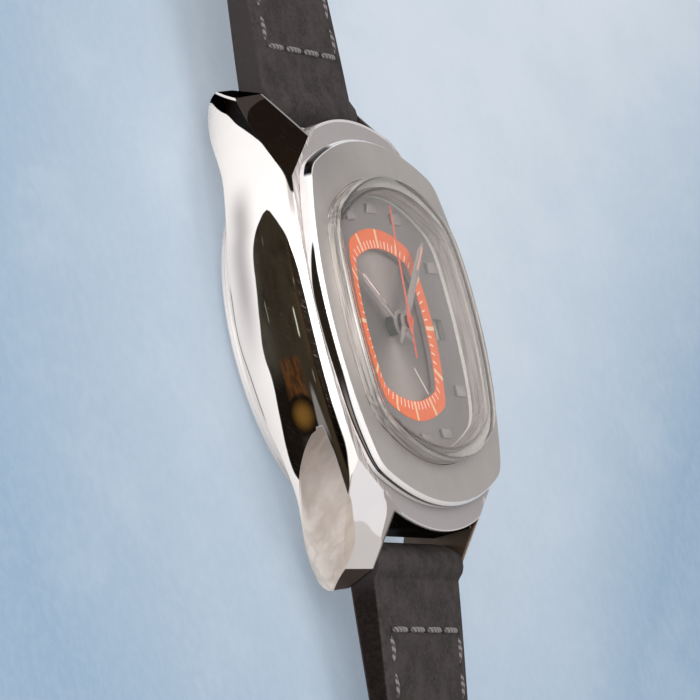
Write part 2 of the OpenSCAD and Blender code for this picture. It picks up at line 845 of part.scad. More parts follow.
// A flat spiral: inner coil clear of the staff, outer end pinned under the cock
module hairspring() {
    turns = 5;
    steps = 18 * turns;
    inner = 0.5;
    pitch = 0.22;
    w = 0.05;
    function at(i, off) = let (t = 20 * i, r = inner + pitch * i / 18 + off) r * [cos(t), sin(t)];
    z = train_z + 0.3;
    color("steelblue") translate([balance_at[0], balance_at[1], z]) {
        linear_extrude(0.15) polygon(concat([for (i = [0 : steps]) at(i, 0)],
            [for (i = [steps : -1 : 0]) at(i, w)]));
        translate([at(steps, 0)[0] + w / 2, at(steps, 0)[1], -0.3]) cylinder(h = 0.45, r = 0.12, $fn = 16);
    }
}

module cannon_pinion() {
    top = dial_z + minute_lift + hand_boss_h;
    color("silver") difference() {
        union() {
            rod([0, 0], motion_z + 0.05, top, cannon_r);
            gear([0, 0], motion_z + 0.05, 0.25, 0.72, 10, 0.15);
        }
        rod([0, 0], motion_z - past, top + past, seconds_arbor_r + run_fit);
    }
}

module minute_wheel() {
    color("khaki") difference() {
        union() {
            gear(minute_wheel_at, motion_z + 0.08, 0.18, 2.08, 30);
            gear(minute_wheel_at, motion_z + 0.2, 0.45, 0.56, 8, 0.12);
        }
        rod(minute_wheel_at, motion_z - past, motion_z + 2, 0.2 + run_fit);
    }
}

module hour_wheel() {
    top = dial_z + hour_lift + hand_boss_h;
    color("khaki") difference() {
        union() {
            rod([0, 0], motion_z + 0.42, top, hour_tube_r);
            gear([0, 0], motion_z + 0.42, 0.2, 2.2, 32);
        }
        rod([0, 0], motion_z - past, top + past, cannon_r + run_fit);
    }
}

module strike_wheel() {
    color("silver") {
        arbor(strike_at);
        gear(strike_at, train_z + 0.15, 0.25, 1.6, 12, 0.5);
        gear(strike_at, barrel_teeth_z - 0.05, 0.4, 0.55, 8, 0.15);
    }
}

// The hammer's head hangs beside the gong ring, and its tail reaches the strike wheel
module alarm_hammer() {
    head = [-4.6, 11.6];
    tail = [-0.4, 8];
    z = train_z + 0.5;
    color("silver") {
        arbor(hammer_at);
        translate([0, 0, z]) linear_extrude(0.35) {
            arm(hammer_at, head, 0.8);
            arm(hammer_at, tail, 0.5);
        }
        rod(head, bridge_z - 0.6, z, 0.6);
    }
}

module rotor() {
    web_t = 0.4;
    rim_w = 1.8;
    z = rotor_z + rotor_t;
    color("goldenrod") difference() {
        union() {
            difference() {
                union() {
                    rod([0, 0], z - web_t, z, rotor_r);
                    tube([0, 0], rotor_z, z, rotor_r, rotor_r - rim_w);
                }
                translate([-2 * rotor_r, 0, 0]) cube([4 * rotor_r, 2 * rotor_r, bridge_z]);
            }
            rod([0, 0], rotor_z, z, 2);
        }
        rod([0, 0], rotor_z - past, z + past, rotor_post_r + run_fit);
    }
}

// Crowns

module crown_body(side) {
    inner = crown_reach - crown_sink + loose_fit;
    crown_axis(side, inner) difference() {
        union() {
            linear_extrude(crown_l - 0.4) polygon(gear_line(crown_r, crown_notches, 0.14));
            translate([0, 0, crown_l - 0.4]) cylinder(h = 0.4, r1 = crown_r - 0.14, r2 = crown_r - 0.5);
        }
        translate([0, 0, -past]) cylinder(h = past + pocket_depth, r = tube_r + 2 * seal_r + 0.01, $fn = 32);
        translate([0, 0, pocket_depth - past]) cylinder(h = 1.1, r = stem_r, $fn = 32);
    }
}

module crown_stem(side) {
    inner = crown_reach - crown_sink + loose_fit;
    crown_axis(side, stem_end) cylinder(h = inner + pocket_depth + 0.6 - stem_end, r = stem_r, $fn = 32);
}

module clutch_pinion(side) {
    crown_axis(side, clutch_from) difference() {
        linear_extrude(clutch_l) polygon(gear_line(clutch_r, 12, 0.1));
        translate([0, 0, -past]) cylinder(h = clutch_l + 2 * past, r = stem_r + run_fit, $fn = 32);
    }
}

module crown_seal(side) {
    crown_axis(side, crown_reach - crown_sink + loose_fit + 0.5)
        rotate_extrude($fn = 32) translate([tube_r + seal_r + 0.01, 0]) circle(r = seal_r - 0.005, $fn = 16);
}

module crown_tubes() {
    from = bore_r + 0.05;
    color("gray") for (side = [-1, 1]) crown_axis(side, from) difference() {
        cylinder(h = crown_reach + 0.5 - from, r = tube_r, $fn = 32);
        translate([0, 0, -past]) cylinder(h = crown_reach, r = stem_r + 0.08, $fn = 32);
    }
}

module time_crown() { color("silver") crown_body(-1); }
module time_stem() { color("gray") crown_stem(-1); }
module time_clutch_pinion() { color("khaki") clutch_pinion(-1); }
module time_crown_seal() { color("dimgray") crown_seal(-1); }
module alarm_crown() { color("silver") crown_body(1); }
module alarm_stem() { color("gray") crown_stem(1); }
module alarm_clutch_pinion() { color("khaki") clutch_pinion(1); }
module alarm_crown_seal() { color("dimgray") crown_seal(1); }

// Strap

module spring_bars() {
    color("gray") both_ends() translate([0, bar_y, bar_z]) rotate([0, 90, 0]) {
        cylinder(h = 2 * gap_hw - 0.2, r = bar_r, center = true, $fn = 32);
        cylinder(h = 2 * (gap_hw + bar_tip_l) - 0.2, r = bar_tip_r, center = true, $fn = 32);
    }
}

// Height of the strap's middle at distance y: straight from the bar, an S-bend, then flat
function blend_z(y, y0, z0, slope, y1, z1) =
    y < y0 ? z0 + slope * (y - y0)
    : y > y1 ? z1
    : let (t = (y - y0) / (y1 - y0), h = slope * (y1 - y0))
        z0 * (1 + 2 * t) * pow(1 - t, 2) + h * t * pow(1 - t, 2) + z1 * t * t * (3 - 2 * t);
function upper_z(y) = blend_z(y, bar_y + strap_straight, bar_z + strap_slope_up * strap_straight,
    strap_slope_up, upper_flat_y, upper_flat_z);
function lower_z(y) = blend_z(y, bar_y + strap_straight, bar_z - strap_slope_down * strap_straight,
    -strap_slope_down, lower_flat_y, lower_flat_z);
function half_t(y) = (strap_t + (strap_end_t - strap_t) * ease(min(1, (y - bar_y) / thin_after))) / 2;

module strap_side(mids, half) {
    n = len(mids) - 1;
    polygon(concat([for (i = [0 : n]) [mids[i][0], mids[i][1] - half[i]]],
        [for (i = [n : -1 : 0]) [mids[i][0], mids[i][1] + half[i]]]));
}

// The leather folded round the spring bar, with the padded hump outside it
module strap_end_section() {
    translate([bar_y, bar_z]) circle(r = strap_t / 2);
    translate([bar_y + hump_out, bar_z + hump_up]) circle(r = hump_r);
}

module strap_plan(end, tip) {
    hw = gap_hw - 0.15;
    ew = strap_end_w / 2;
    polygon(concat([[hw, bar_y - 3], [hw, bar_y + taper_from], [ew, bar_y + taper_to]],
        tip ? [for (i = [0 : 10]) [ew * cos(9 * i), end - 9 + 9 * sin(9 * i)]] : [[ew, end + 3]],
        tip ? [for (i = [9 : -1 : 0]) [-ew * cos(9 * i), end - 9 + 9 * sin(9 * i)]] : [[-ew, end + 3]],
        [[-ew, bar_y + taper_to], [-hw, bar_y + taper_from], [-hw, bar_y - 3]]));
}

module loop_bore(y, z, r) {
    translate([0, y, z]) rotate([0, 90, 0]) cylinder(h = 3 * strap_w, r = r, center = true, $fn = 32);
}

// Points of the middle line, close together in the bends and a single run where it is flat
function stations(flat_y, end) = concat([for (i = [0 : strap_steps]) bar_y + (flat_y - bar_y) * i / strap_steps],
    [end]);

module strap_upper() {
    ys = stations(upper_flat_y, pin_y);
    wide = 3 * strap_w;
    color("dimgray") difference() {
        intersection() {
            translate([-wide / 2, 0, 0]) rotate([90, 0, 90]) linear_extrude(wide) union() {
                strap_side([for (y = ys) [y, upper_z(y)]], [for (y = ys) half_t(y)]);
                strap_end_section();
                translate([pin_y, upper_flat_z]) circle(r = pin_loop_r);
            }
            linear_extrude(2 * shoulder_z) strap_plan(pin_y, false);
        }
        loop_bore(bar_y, bar_z, bar_r + run_fit);
        loop_bore(pin_y, upper_flat_z, pin_r + run_fit);
        translate([-tongue_w / 2 - 0.25, pin_y - 1.9, -past]) cube([tongue_w + 0.5, 6, 2 * shoulder_z]);
    }
}

module strap_lower() {
    ys = stations(lower_flat_y, lower_end_y);
    wide = 3 * strap_w;
    color("dimgray") mirror([0, 1, 0]) difference() {
        intersection() {
            translate([-wide / 2, 0, 0]) rotate([90, 0, 90]) linear_extrude(wide) union() {
                strap_side([for (y = ys) [y, lower_z(y)]], [for (y = ys) half_t(y)]);
                strap_end_section();
            }
            linear_extrude(2 * shoulder_z) strap_plan(lower_end_y, true);
        }
        loop_bore(bar_y, bar_z, bar_r + run_fit);
        for (i = [0 : hole_count - 1])
            translate([0, lower_end_y - first_hole - hole_pitch * i, -past])
                cylinder(h = 3 * strap_end_t, r = hole_r, $fn = 32);
    }
}

// A flat loop of leather with room for the other half's tip above the strap
module keeper_loop(y, gap, floor_z) {
    hw = strap_end_w / 2 + keeper_side;
    top = upper_flat_z + strap_end_t / 2 + keeper_room;
    translate([0, y, 0]) difference() {
        translate([-hw - keeper_t, 0, 0]) cube([2 * (hw + keeper_t), keeper_w, top + keeper_t]);
        translate([-hw, -past, floor_z - gap]) cube([2 * hw, keeper_w + 2 * past, top - floor_z + gap]);
    }
}

module fixed_keeper() {
    color("dimgray") keeper_loop(fixed_keeper_y, 0, keeper_t);
}

module sliding_keeper() {
    color("dimgray") keeper_loop(sliding_keeper_y, loose_fit, keeper_t);
}

// Buckle: two arms with ears on the pin, and a far bar that the tongue rests on
module buckle_frame() {
    in_w = strap_end_w / 2 + 0.2;
    out_w = in_w + frame_arm;
    z = upper_flat_z - buckle_t / 2;
    r = frame_corner;
    corner_y = pin_y + buckle_l - r;
    color("silver") difference() {
        union() {
            translate([0, 0, z]) linear_extrude(buckle_t) difference() {
                polygon(concat([[out_w, pin_y], [out_w, corner_y]],
                    [for (i = [1 : 5]) [out_w - r, corner_y] + r * [cos(18 * i), sin(18 * i)]],
                    [for (i = [5 : -1 : 1]) [r - out_w, corner_y] + r * [-cos(18 * i), sin(18 * i)]],
                    [[-out_w, corner_y], [-out_w, pin_y]]));
                translate([-in_w, pin_y - past]) square([2 * in_w, buckle_l - frame_bar + past]);
            }
            for (s = [-1, 1]) translate([s * (in_w + frame_arm / 2), pin_y, upper_flat_z])
                rotate([0, 90, 0]) cylinder(h = frame_arm, r = buckle_t / 2 + 0.3, center = true);
        }
        loop_bore(pin_y, upper_flat_z, pin_r);
    }
}

module buckle_pin() {
    color("gray") translate([0, pin_y, upper_flat_z]) rotate([0, 90, 0])
        cylinder(h = strap_end_w + 0.4 + 2 * frame_arm - 0.2, r = pin_r, center = true, $fn = 32);
}

module buckle_tongue() {
    top = buckle_t / 2 + 0.03;
    loop_r = 1.2;
    color("silver") translate([0, pin_y, upper_flat_z]) rotate([90, 0, 90]) difference() {
        translate([0, 0, -tongue_w / 2]) linear_extrude(tongue_w) {
            circle(r = loop_r, $fn = 32);
            polygon([[0, loop_r], [0, 0], [loop_r, 0], [buckle_l / 2, top], [buckle_l, top],
                [buckle_l + 0.8, top + 0.1], [buckle_l + 0.6, top + 0.5], [buckle_l / 2, top + tongue_t]]);
        }
        translate([0, 0, -tongue_w]) cylinder(h = 2 * tongue_w, r = pin_r + run_fit, $fn = 32);
    }
}

case_middle();
bezel();
crystal();
crystal_gasket();
case_back();
back_gasket();
gong_ring();
movement_ring();
crown_tubes();
dial_plate();
minute_ring();
hour_markers();
alarm_disc();
date_disc();
hour_hand();
minute_hand();
seconds_hand();
main_plate();
train_bridge();
barrel_bridge();
alarm_bridge();
balance_cock();
rotor_bridge();
jewels();
movement_screws();
mainspring_barrel();
ratchet_wheel();
great_wheel();
third_wheel();
fourth_wheel();
escape_wheel();
pallet_fork();
balance_wheel();
hairspring();
cannon_pinion();
minute_wheel();
hour_wheel();
alarm_barrel();
alarm_ratchet_wheel();
strike_wheel();
alarm_hammer();
rotor();
time_crown();
time_stem();
time_clutch_pinion();
time_crown_seal();
alarm_crown();
alarm_stem();
alarm_clutch_pinion();
alarm_crown_seal();
spring_bars();
strap_upper();
strap_lower();
fixed_keeper();
sliding_keeper();
buckle_frame();
buckle_pin();
buckle_tongue();
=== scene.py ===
import json
import math
import random

import bmesh
import bpy
from mathutils import Matrix, Vector

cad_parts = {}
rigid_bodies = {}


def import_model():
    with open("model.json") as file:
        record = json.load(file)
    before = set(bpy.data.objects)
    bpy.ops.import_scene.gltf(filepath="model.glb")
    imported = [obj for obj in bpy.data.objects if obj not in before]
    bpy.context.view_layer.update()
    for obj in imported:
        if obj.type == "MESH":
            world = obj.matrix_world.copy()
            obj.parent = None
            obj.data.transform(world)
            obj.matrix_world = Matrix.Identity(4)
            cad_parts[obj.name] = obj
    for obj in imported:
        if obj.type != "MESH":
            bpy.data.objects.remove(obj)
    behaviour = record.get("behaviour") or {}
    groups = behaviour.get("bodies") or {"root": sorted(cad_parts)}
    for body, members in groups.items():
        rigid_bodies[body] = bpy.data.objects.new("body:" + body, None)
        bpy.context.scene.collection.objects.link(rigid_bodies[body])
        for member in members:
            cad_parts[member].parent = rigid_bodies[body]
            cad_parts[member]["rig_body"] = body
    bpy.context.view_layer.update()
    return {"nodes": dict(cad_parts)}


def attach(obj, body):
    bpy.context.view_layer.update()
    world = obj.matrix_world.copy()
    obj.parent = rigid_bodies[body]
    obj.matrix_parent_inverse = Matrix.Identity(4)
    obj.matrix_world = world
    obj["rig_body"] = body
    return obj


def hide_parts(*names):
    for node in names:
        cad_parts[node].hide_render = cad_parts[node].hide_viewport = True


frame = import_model()
MM = 0.001
sin, cos, pi, rad = math.sin, math.cos, math.pi, math.radians
scene = bpy.context.scene


def add_object(name, data):
    o = bpy.data.objects.new(name, data)
    scene.collection.objects.link(o)
    return o


# Camera and lights

cam_data = bpy.data.cameras.new("view_camera")
cam_data.lens, cam_data.sensor_width = 412.4, 36
cam_data.clip_start, cam_data.clip_end = 0.05, 20
cam = add_object("view_camera", cam_data)
cam.matrix_world = Matrix(((0.3781, -0.0388, -0.9249, -0.64896), (-0.2271, 0.9647, -0.1333, -0.09451),
                           (0.8975, 0.2604, 0.3560, 0.25503), (0, 0, 0, 1)))
scene.camera = cam
scene.view_settings.view_transform = "Standard"


def area(name, place, size, power, tint=(1, 1, 1)):
    """A round lamp that shines at the origin."""
    data = bpy.data.lights.new(name, "AREA")
    data.shape, data.size, data.energy, data.color = "DISK", size, power, tint
    o = add_object(name, data)
    o.location = place
    o.rotation_mode = "QUATERNION"
    o.rotation_quaternion = (-Vector(place)).to_track_quat("-Z", "Y")


area("key_light", (-0.58, 0.10, 0.30), 0.5, 3.3, (1, 0.975, 0.95))
area("top_light", (-0.02, 0.16, 0.7), 0.7, 1.7)
world = bpy.data.worlds.new("studio")
world.use_nodes = True
world.node_tree.nodes["Background"].inputs[0].default_value = (1, 0.99, 0.98, 1)
world.node_tree.nodes["Background"].inputs[1].default_value = 0.46
scene.world = world


# Material helpers

def linear(code, times=1.0):
    """The linear colour of a colour code, brighter or darker by a factor."""
    values = (int(code[i:i + 2], 16) for i in (1, 3, 5))
    return tuple(times * (c / 255 / 12.92 if c <= 10 else ((c / 255 + 0.055) / 1.055) ** 2.4) for c in values)


class Mat:
    """A Principled material with node helpers. Places are in millimetres of the object's own space."""

    def __init__(self, name, **sockets):
        self.m = bpy.data.materials.new(name)
        self.m.use_nodes = True
        self.t = self.m.node_tree
        self.t.nodes.clear()
        self.p = self.node("BsdfPrincipled")
        self.out = self.node("OutputMaterial", (self.p.outputs[0],))
        self.set(**sockets)
        places = self.node("TexCoord").outputs
        self.normal = places["Normal"]
        self.pos = self.vec("SCALE", places["Object"], 1000.0)
        self.x, self.y, self.z = self.split(self.pos)

    def node(self, kind, inputs=(), **props):
        """A node with its inputs, by index or name, linked or set."""
        n = self.t.nodes.new("ShaderNode" + kind)
        for key, value in props.items():
            setattr(n, key, value)
        for i, v in (inputs.items() if isinstance(inputs, dict) else enumerate(inputs)):
            self.put(n.inputs[i], v)
        return n

    def put(self, socket, v):
        """Links a socket, or sets it to a number, a vector, a colour or a colour code."""
        if isinstance(v, bpy.types.NodeSocket):
            self.t.links.new(v, socket)
            return
        if isinstance(v, str):
            v = linear(v)
        if isinstance(v, tuple) and len(v) < len(socket.default_value):
            v = (*v, 1)
        socket.default_value = v

    def vec(self, op, a, b=None):
        second = {} if b is None else {"Scale" if op == "SCALE" else 1: b}
        n = self.node("VectorMath", {0: a, **second}, operation=op)
        return n.outputs["Value"] if op in ("DOT_PRODUCT", "LENGTH") else n.outputs[0]

    def math(self, op, *args):
        return self.node("Math", args, operation=op).outputs[0]

    def mul(self, a, *others):
        for b in others:
            a = self.math("MULTIPLY", a, b)
        return a

    def most(self, a, *others):
        for b in others:
            a = self.math("MAXIMUM", a, b)
        return a

    def sub(self, a, b):
        return self.math("SUBTRACT", a, b)

    def add(self, a, b):
        return self.math("ADD", a, b)

    def abs(self, a):
        return self.math("ABSOLUTE", a)

    def dot(self, a, b):
        return self.vec("DOT_PRODUCT", a, b)

    def rest(self, share):
        return self.sub(1.0, share)

    def xyz(self, *v):
        return self.node("CombineXYZ", v).outputs[0]

    def split(self, v):
        return self.node("SeparateXYZ", (v,)).outputs

    def step(self, v, lo, hi):
        """A smooth step from 0 at lo to 1 at hi."""
        return self.node("MapRange", (v, lo, hi, 0.0, 1.0), interpolation_type="SMOOTHSTEP").outputs[0]

    def over(self, v, level, soft):
        """1 where v is over a level."""
        return self.step(self.sub(v, level), -soft, soft)

    def span(self, v, lo, hi, soft):
        return self.mul(self.over(v, lo, soft), self.over(hi, v, soft))

    def mix(self, fac, a, b):
        return self.node("Mix", {0: fac, 6: a, 7: b}, data_type="RGBA").outputs[2]

    def coats(self, color, *coats):
        """Lays coats (share, colour) over a colour."""
        for share, coat in coats:
            color = self.mix(share, color, coat)
        return color

    def blend(self, fac, a, b):
        return self.node("Mix", {0: fac, 2: a, 3: b}, data_type="FLOAT").outputs[0]

    def noise(self, scale, detail=3.0, rough=0.55, stretch=(1, 1, 1), at=None, shift=0.0):
        v = self.node("Mapping", {0: at or self.pos, 1: (shift, shift, shift), 3: stretch}).outputs[0]
        return self.node("TexNoise", {0: v, 2: scale, 3: detail, 4: rough}).outputs[0]

    def turned(self, angle):
        """Places turned about X."""
        return self.node("Mapping", {0: self.pos, 2: (angle, 0, 0)}).outputs[0]

    def rounded(self, width, samples):
        return self.node("Bevel", (width * MM,), samples=samples).outputs[0]

    def curve(self, v, points, lo=-24.0, hi=24.0, top=10.0):
        """A value that follows points (place, value) along v."""
        n = self.node("FloatCurve", {1: self.node("MapRange", (v, lo, hi, 0.0, 1.0)).outputs[0]})
        line = n.mapping.curves[0]
        points = sorted(points)
        line.points[0].location = (0, points[0][1] / top)
        line.points[1].location = (1, points[-1][1] / top)
        for p, q in points:
            line.points.new((p - lo) / (hi - lo), q / top)
        for p in line.points:
            p.handle_type = "AUTO_CLAMPED"
        n.mapping.update()
        return self.mul(n.outputs[0], top)

    def bump(self, height, depth_mm, strength, normal=None):
        inputs = {"Height": height, "Distance": depth_mm * MM, "Strength": strength}
        if normal is not None:
            inputs["Normal"] = normal
        return self.node("Bump", inputs).outputs[0]

    def set(self, **sockets):
        for key, v in sockets.items():
            self.put(self.p.inputs[key.replace("_", " ")], v)


# Mesh helpers

def mesh_object(name, verts, faces):
    me = bpy.data.meshes.new(name)
    me.from_pydata([tuple(v) for v in verts], [], [tuple(f) for f in faces])
    me.validate()
    bm = bmesh.new()
    bm.from_mesh(me)
    bmesh.ops.recalc_face_normals(bm, faces=bm.faces)
    bm.to_mesh(me)
    bm.free()
    return add_object(name, me)


def tool(verts, faces):
    return mesh_object("tool", verts, faces)


def applied(o):
    """The object with its modifiers applied."""
    dg = bpy.context.evaluated_depsgraph_get()
    me = bpy.data.meshes.new_from_object(o.evaluated_get(dg))
    old, o.data = o.data, me
    o.modifiers.clear()
    bpy.data.meshes.remove(old)
    return o


def boolean(o, op, *tools):
    for other in tools:
        m = o.modifiers.new("boolean", "BOOLEAN")
        m.operation, m.object, m.solver = op, other, "MANIFOLD"
        applied(o)
        bpy.data.objects.remove(other)


def cut(o, *tools):
    boolean(o, "DIFFERENCE", *tools)


def bevelled(o, width, segments=2):
    m = o.modifiers.new("edge", "BEVEL")
    m.width, m.segments, m.limit_method, m.angle_limit = width, segments, "ANGLE", rad(40)
    return applied(o)


def dress(o, body, mats, replaces=(), angle=30):
    """Scales a mesh drawn in millimetres, shades it, and gives it its material, body and slot."""
    o.data.transform(Matrix.Scale(MM, 4))
    o.data.materials.clear()
    for m in mats if isinstance(mats, list) else [mats]:
        o.data.materials.append(m.m)
    o.data.set_sharp_from_angle(angle=rad(angle))
    o.data.update()
    if replaces:
        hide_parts(*replaces)
    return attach(o, body)


def loft(rings, closed=False, caps=True):
    """Joins rings of points with faces; closed joins the last ring to the first."""
    n = len(rings[0])
    verts = [v for r in rings for v in r]
    faces = []
    count = len(rings)
    for i in range(count if closed else count - 1):
        a, b = i * n, (i + 1) % count * n
        faces += [(a + j, a + (j + 1) % n, b + (j + 1) % n, b + j) for j in range(n)]
    if caps and not closed:
        faces += [range(n), range((count - 1) * n, count * n)]
    return verts, faces


def revolve(section, angles):
    """Turns (r, z) points about Z; points with r = 0 become poles. The angles close round."""
    rings = [[(r * cos(t), r * sin(t), z) for t in angles] for r, z in section if r > 0]
    verts, faces = loft(rings, caps=False)
    n = len(angles)
    for row, z in ((0, section[0][1]), (len(rings) - 1, section[-1][1])):
        k = len(verts)
        verts.append((0, 0, z))
        faces += [(row * n + j, row * n + (j + 1) % n, k) for j in range(n)]
    return verts, faces


def turns(n):
    return [2 * pi * i / n for i in range(n)]


def circle(r, z, n):
    return [(r * cos(t), r * sin(t), z) for t in turns(n)]


def rod(r, a, b, n=48):
    """A rod of radius r from point a to point b."""
    a, b = Vector(a), Vector(b)
    q = (b - a).to_track_quat("Z", "Y")
    rings = [[p + q @ Vector(v) for v in circle(r, 0, n)] for p in (a, b)]
    return tool(*loft(rings))


def prism(points, z0, z1):
    return tool(*loft([at_z(points, z) for z in (z0, z1)]))


def cushion(o, d=0.0):
    """Rounded square: half width, half height, side radius, end radius, corner radius; d further in."""
    n = 24
    hw, hh, sr, er, cr = (v - d for v in o)
    sx, ey, a, b = hw - sr, hh - er, sr - cr, er - cr
    dx, dy = -sx, ey
    far = math.hypot(dx, dy)
    x = (a * a - b * b + far * far) / (2 * far)
    h = math.sqrt(a * a - x * x)
    cx, cy = sx + dx / far * x - dy / far * h, dy / far * x + dx / far * h
    t1, t2 = math.atan2(cy, cx - sx), math.atan2(cy - ey, cx)
    quarter = []
    for (px, py), r, f, t in (((sx, 0), sr, 0, t1), ((cx, cy), cr, t1, t2), ((0, ey), er, t2, pi / 2)):
        quarter += [(px + r * cos(f + (t - f) * i / n), py + r * sin(f + (t - f) * i / n)) for i in range(n)]
    quarter.append((0, hh))
    ahead, back = quarter[:-1], quarter[:0:-1]
    return ahead + [(-x, y) for x, y in back] + [(-x, -y) for x, y in ahead] + [(x, -y) for x, y in back]


def at_z(points, z):
    return [(x, y, z) for x, y in points]


def ease(t):
    return (1 - cos(pi * t)) / 2


# Outlines and heights, in millimetres, as in the part's source

BEZEL, CRYSTAL = [17.8, 16.55, 27, 34, 3.6], [14.9, 12.9, 30, 24, 5]
RING, RING_HOLE = [8.76, 8.66, 17, 17, 1.6], [6.96, 6.86, 15, 15, 1.3]
SHOULDER_Z, BEZEL_Z = 10.0, 11.15
FOOT_Z, WALL_Z, TOP_Z, GLASS_T, DOME_R = 9.5, 12.0, 13.0, 1.3, 166.66
DIAL_Z, RING_Z, DISC_Z, DATE_Z = 9.2, 9.25, 8.645, 8.545
FLANK_R, FLANK_OFF, FLANK_TOP = 46.75, 28.25, 9.0
LUG_Y, LUG_R, LUG_Z = 20.5, 1.8, 3.2
BAR_Y, BAR_Z, BAR_HL, GAP_HW, CROWN_Z = 20.0, 5.65, 10.95, 10.05, 6.9
BUCKLE_Y, BUCKLE_Z = 95.0, 2.1
STRAP_Y, TIP_Y, TIP_L, STITCH_IN = 18.6, 126.0, 9.0, 1.75
BOX = ((0, 1, 2, 3), (4, 5, 6, 7), (0, 1, 5, 4), (1, 2, 6, 5), (2, 3, 7, 6), (3, 0, 4, 7))

# Materials

FACET, END = (0.358, 0.545, 0.758), (0.225, 0.908, 0.354)


def steel_paint():
    """Polished steel with painted reflections of the studio's dark panels and warm walls, and painted highlights,
    laid on the flanks and lugs by place on the case.
    """
    m = Mat("case_steel")
    n = m.vec("ABSOLUTE", m.normal)
    ax, ay, y, z = m.abs(m.x), m.abs(m.y), m.y, m.z
    down, upward = m.mul(y, -1.0), m.step(y, 0.0, 1.0)
    scratch = m.noise(1.1, 5, 0.7, (0.35, 0.35, 6))
    fine = m.noise(9, 3, 0.6, (0.2, 0.2, 3))
    soft = m.noise(0.22, 2, 0.5)
    hairs = m.noise(2.6, 2, 0.75, (0.3, 0.35, 7), m.turned(0.75))
    zw = m.add(z, m.math("MULTIPLY_ADD", m.noise(0.9, 2), 0.04, -0.02))

    # The dark leaf, a painted reflection of a dark panel: brown in its middle, an amber oval, a grey wedge and a few
    # small painted highlights
    lower = m.curve(y, [(10.2, 7.45), (10.05, 7.2), (9.5, 6.75), (8.7, 6.2), (7.91, 5.83), (6.5, 5.44), (3.99, 5.19),
                        (0.57, 4.71), (-1.91, 4.4), (-4.2, 4.55), (-7.06, 4.29), (-11.56, 3.86), (-12.89, 4.17),
                        (-15.39, 8.19)])
    upper = m.curve(y, [(10.2, 7.45), (10.05, 7.65), (9.5, 7.95), (8.7, 8.35), (7.06, 8.95), (4.36, 9.33),
                        (-1.78, 9.44), (-8.54, 9.39), (-10.38, 9.42), (-12.77, 9.15), (-14.83, 8.5), (-15.39, 8.19)])
    leaf_reflection = m.mul(m.span(zw, lower, upper, 0.06), m.step(y, -15.5, -15.3), m.step(down, -10.22, -10.1))
    tone = m.noise(0.5, 3, 0.6, (1, 0.5, 2.2), shift=2.0)
    streaks = m.noise(2.2, 2, 0.6, (1, 0.25, 1.6))
    brown = m.mul(m.span(y, -6.6, -2.9, 0.35), m.span(zw, 5.8, 7.6, 0.25), m.blend(tone, 0.4, 0.95))
    oval = m.vec("LENGTH", m.xyz(0.0, m.math("DIVIDE", m.sub(y, -7.85), 1.75),
                                 m.math("DIVIDE", m.sub(zw, 6.6), 1.35)))
    widen = m.math("MULTIPLY_ADD", m.add(y, 5.2), -0.07, 0.06)
    grey = m.mul(m.step(down, 5.0, 6.6), m.step(down, 11.0, 9.0),
                 m.span(zw, m.sub(8.0, widen), m.add(8.05, widen), 0.09))
    dark = m.coats(
        m.mix(m.step(z, 4.6, 6.4), "#625846", m.mix(m.step(z, 6.4, 8.4), "#483a2b", "#503e2b")),
        (m.mul(m.step(tone, 0.45, 0.7), 0.55), "#2a2118"),
        (m.mul(m.step(y, -2.0, -5.5), m.step(z, 6.6, 5.6)), "#241b14"),
        (brown, m.mix(m.step(streaks, 0.45, 0.6), "#844c20", "#58321a")),
        (m.step(oval, 1.2, 0.9), "#1e160e"),
        (m.mul(m.step(oval, 0.95, 0.15), m.blend(tone, 0.55, 1.0)), "#ac7230"),
        (m.mul(grey, 0.85), "#928880"))
    lit = m.mul(grey, 0.6)
    for y0, y1, z0, z1, k in ((-1.3, 1.2, 8.14, 8.25, 0.85), (0.6, 2.4, 5.66, 5.72, 0.45),
                              (-5.4, -4.4, 8.5, 8.56, 0.4), (7.2, 7.9, 6.6, 6.64, 0.3), (3.2, 3.7, 8.75, 8.8, 0.35)):
        glint_spot = m.mul(m.span(y, y0, y1, 0.25), m.span(zw, z0, z1, 0.05), k)
        dark = m.mix(glint_spot, dark, "#ece2c4")
        lit = m.most(lit, m.mul(glint_spot, 0.9))
    # A near-black painted reflection along the leaf's top, and pale scratch hairs over it
    dark = m.coats(dark, (m.step(z, 8.8, 9.05), "#0e0b09"),
                   (m.mul(m.step(hairs, 0.6, 0.75), 0.25), "#a09688"))

    # The beige wall below the leaf, a painted reflection, with soft diagonal folds and a paler rim
    left = m.curve(y, [(-9.2, 7.4), (-9.55, 6.88), (-11.37, 5.16), (-13.08, 4.05), (-15.6, 2.97), (-18.56, 1.78),
                       (-20.12, 1.4), (-22, 1.2)])
    band = m.curve(y, [(-8.0, 7.6), (-8.82, 7.95), (-10.41, 8.17), (-12.11, 8.3), (-14.37, 8.24), (-15.39, 8.19),
                       (-16.35, 8.13), (-18.91, 5.84), (-20.13, 3.82), (-22, 1.0)])
    slant = m.turned(0.6)
    folds = m.noise(0.5, 3, 0.55, (1, 1.3, 0.45), slant, 3.0)
    ridge = m.abs(m.sub(m.noise(0.42, 2, 0.5, (1, 1.2, 0.5), slant, 9.0), 0.5))
    beige = m.coats(
        m.mix(m.step(folds, 0.3, 0.7), "#c6b9af", "#e2d6cd"),
        (m.step(down, 18.0, 9.6), "#84776e"),
        (m.step(z, 4.2, 2.0), "#fcf2e9"),
        (m.mul(m.step(ridge, 0.09, 0.0), 0.3), "#b09e92"),
        (m.mul(m.step(m.sub(zw, left), 0.34, 0.1), m.step(down, 12.5, 14.5)), "#f0e6de"))
    wall = m.most(m.mul(m.span(zw, left, band, 0.05), m.step(down, 9.0, 9.2)),
                  m.mul(m.span(zw, left, 12.0, 0.08), m.step(down, 15.35, 15.45)))
    leaf_reflection = m.mul(leaf_reflection, m.rest(wall))
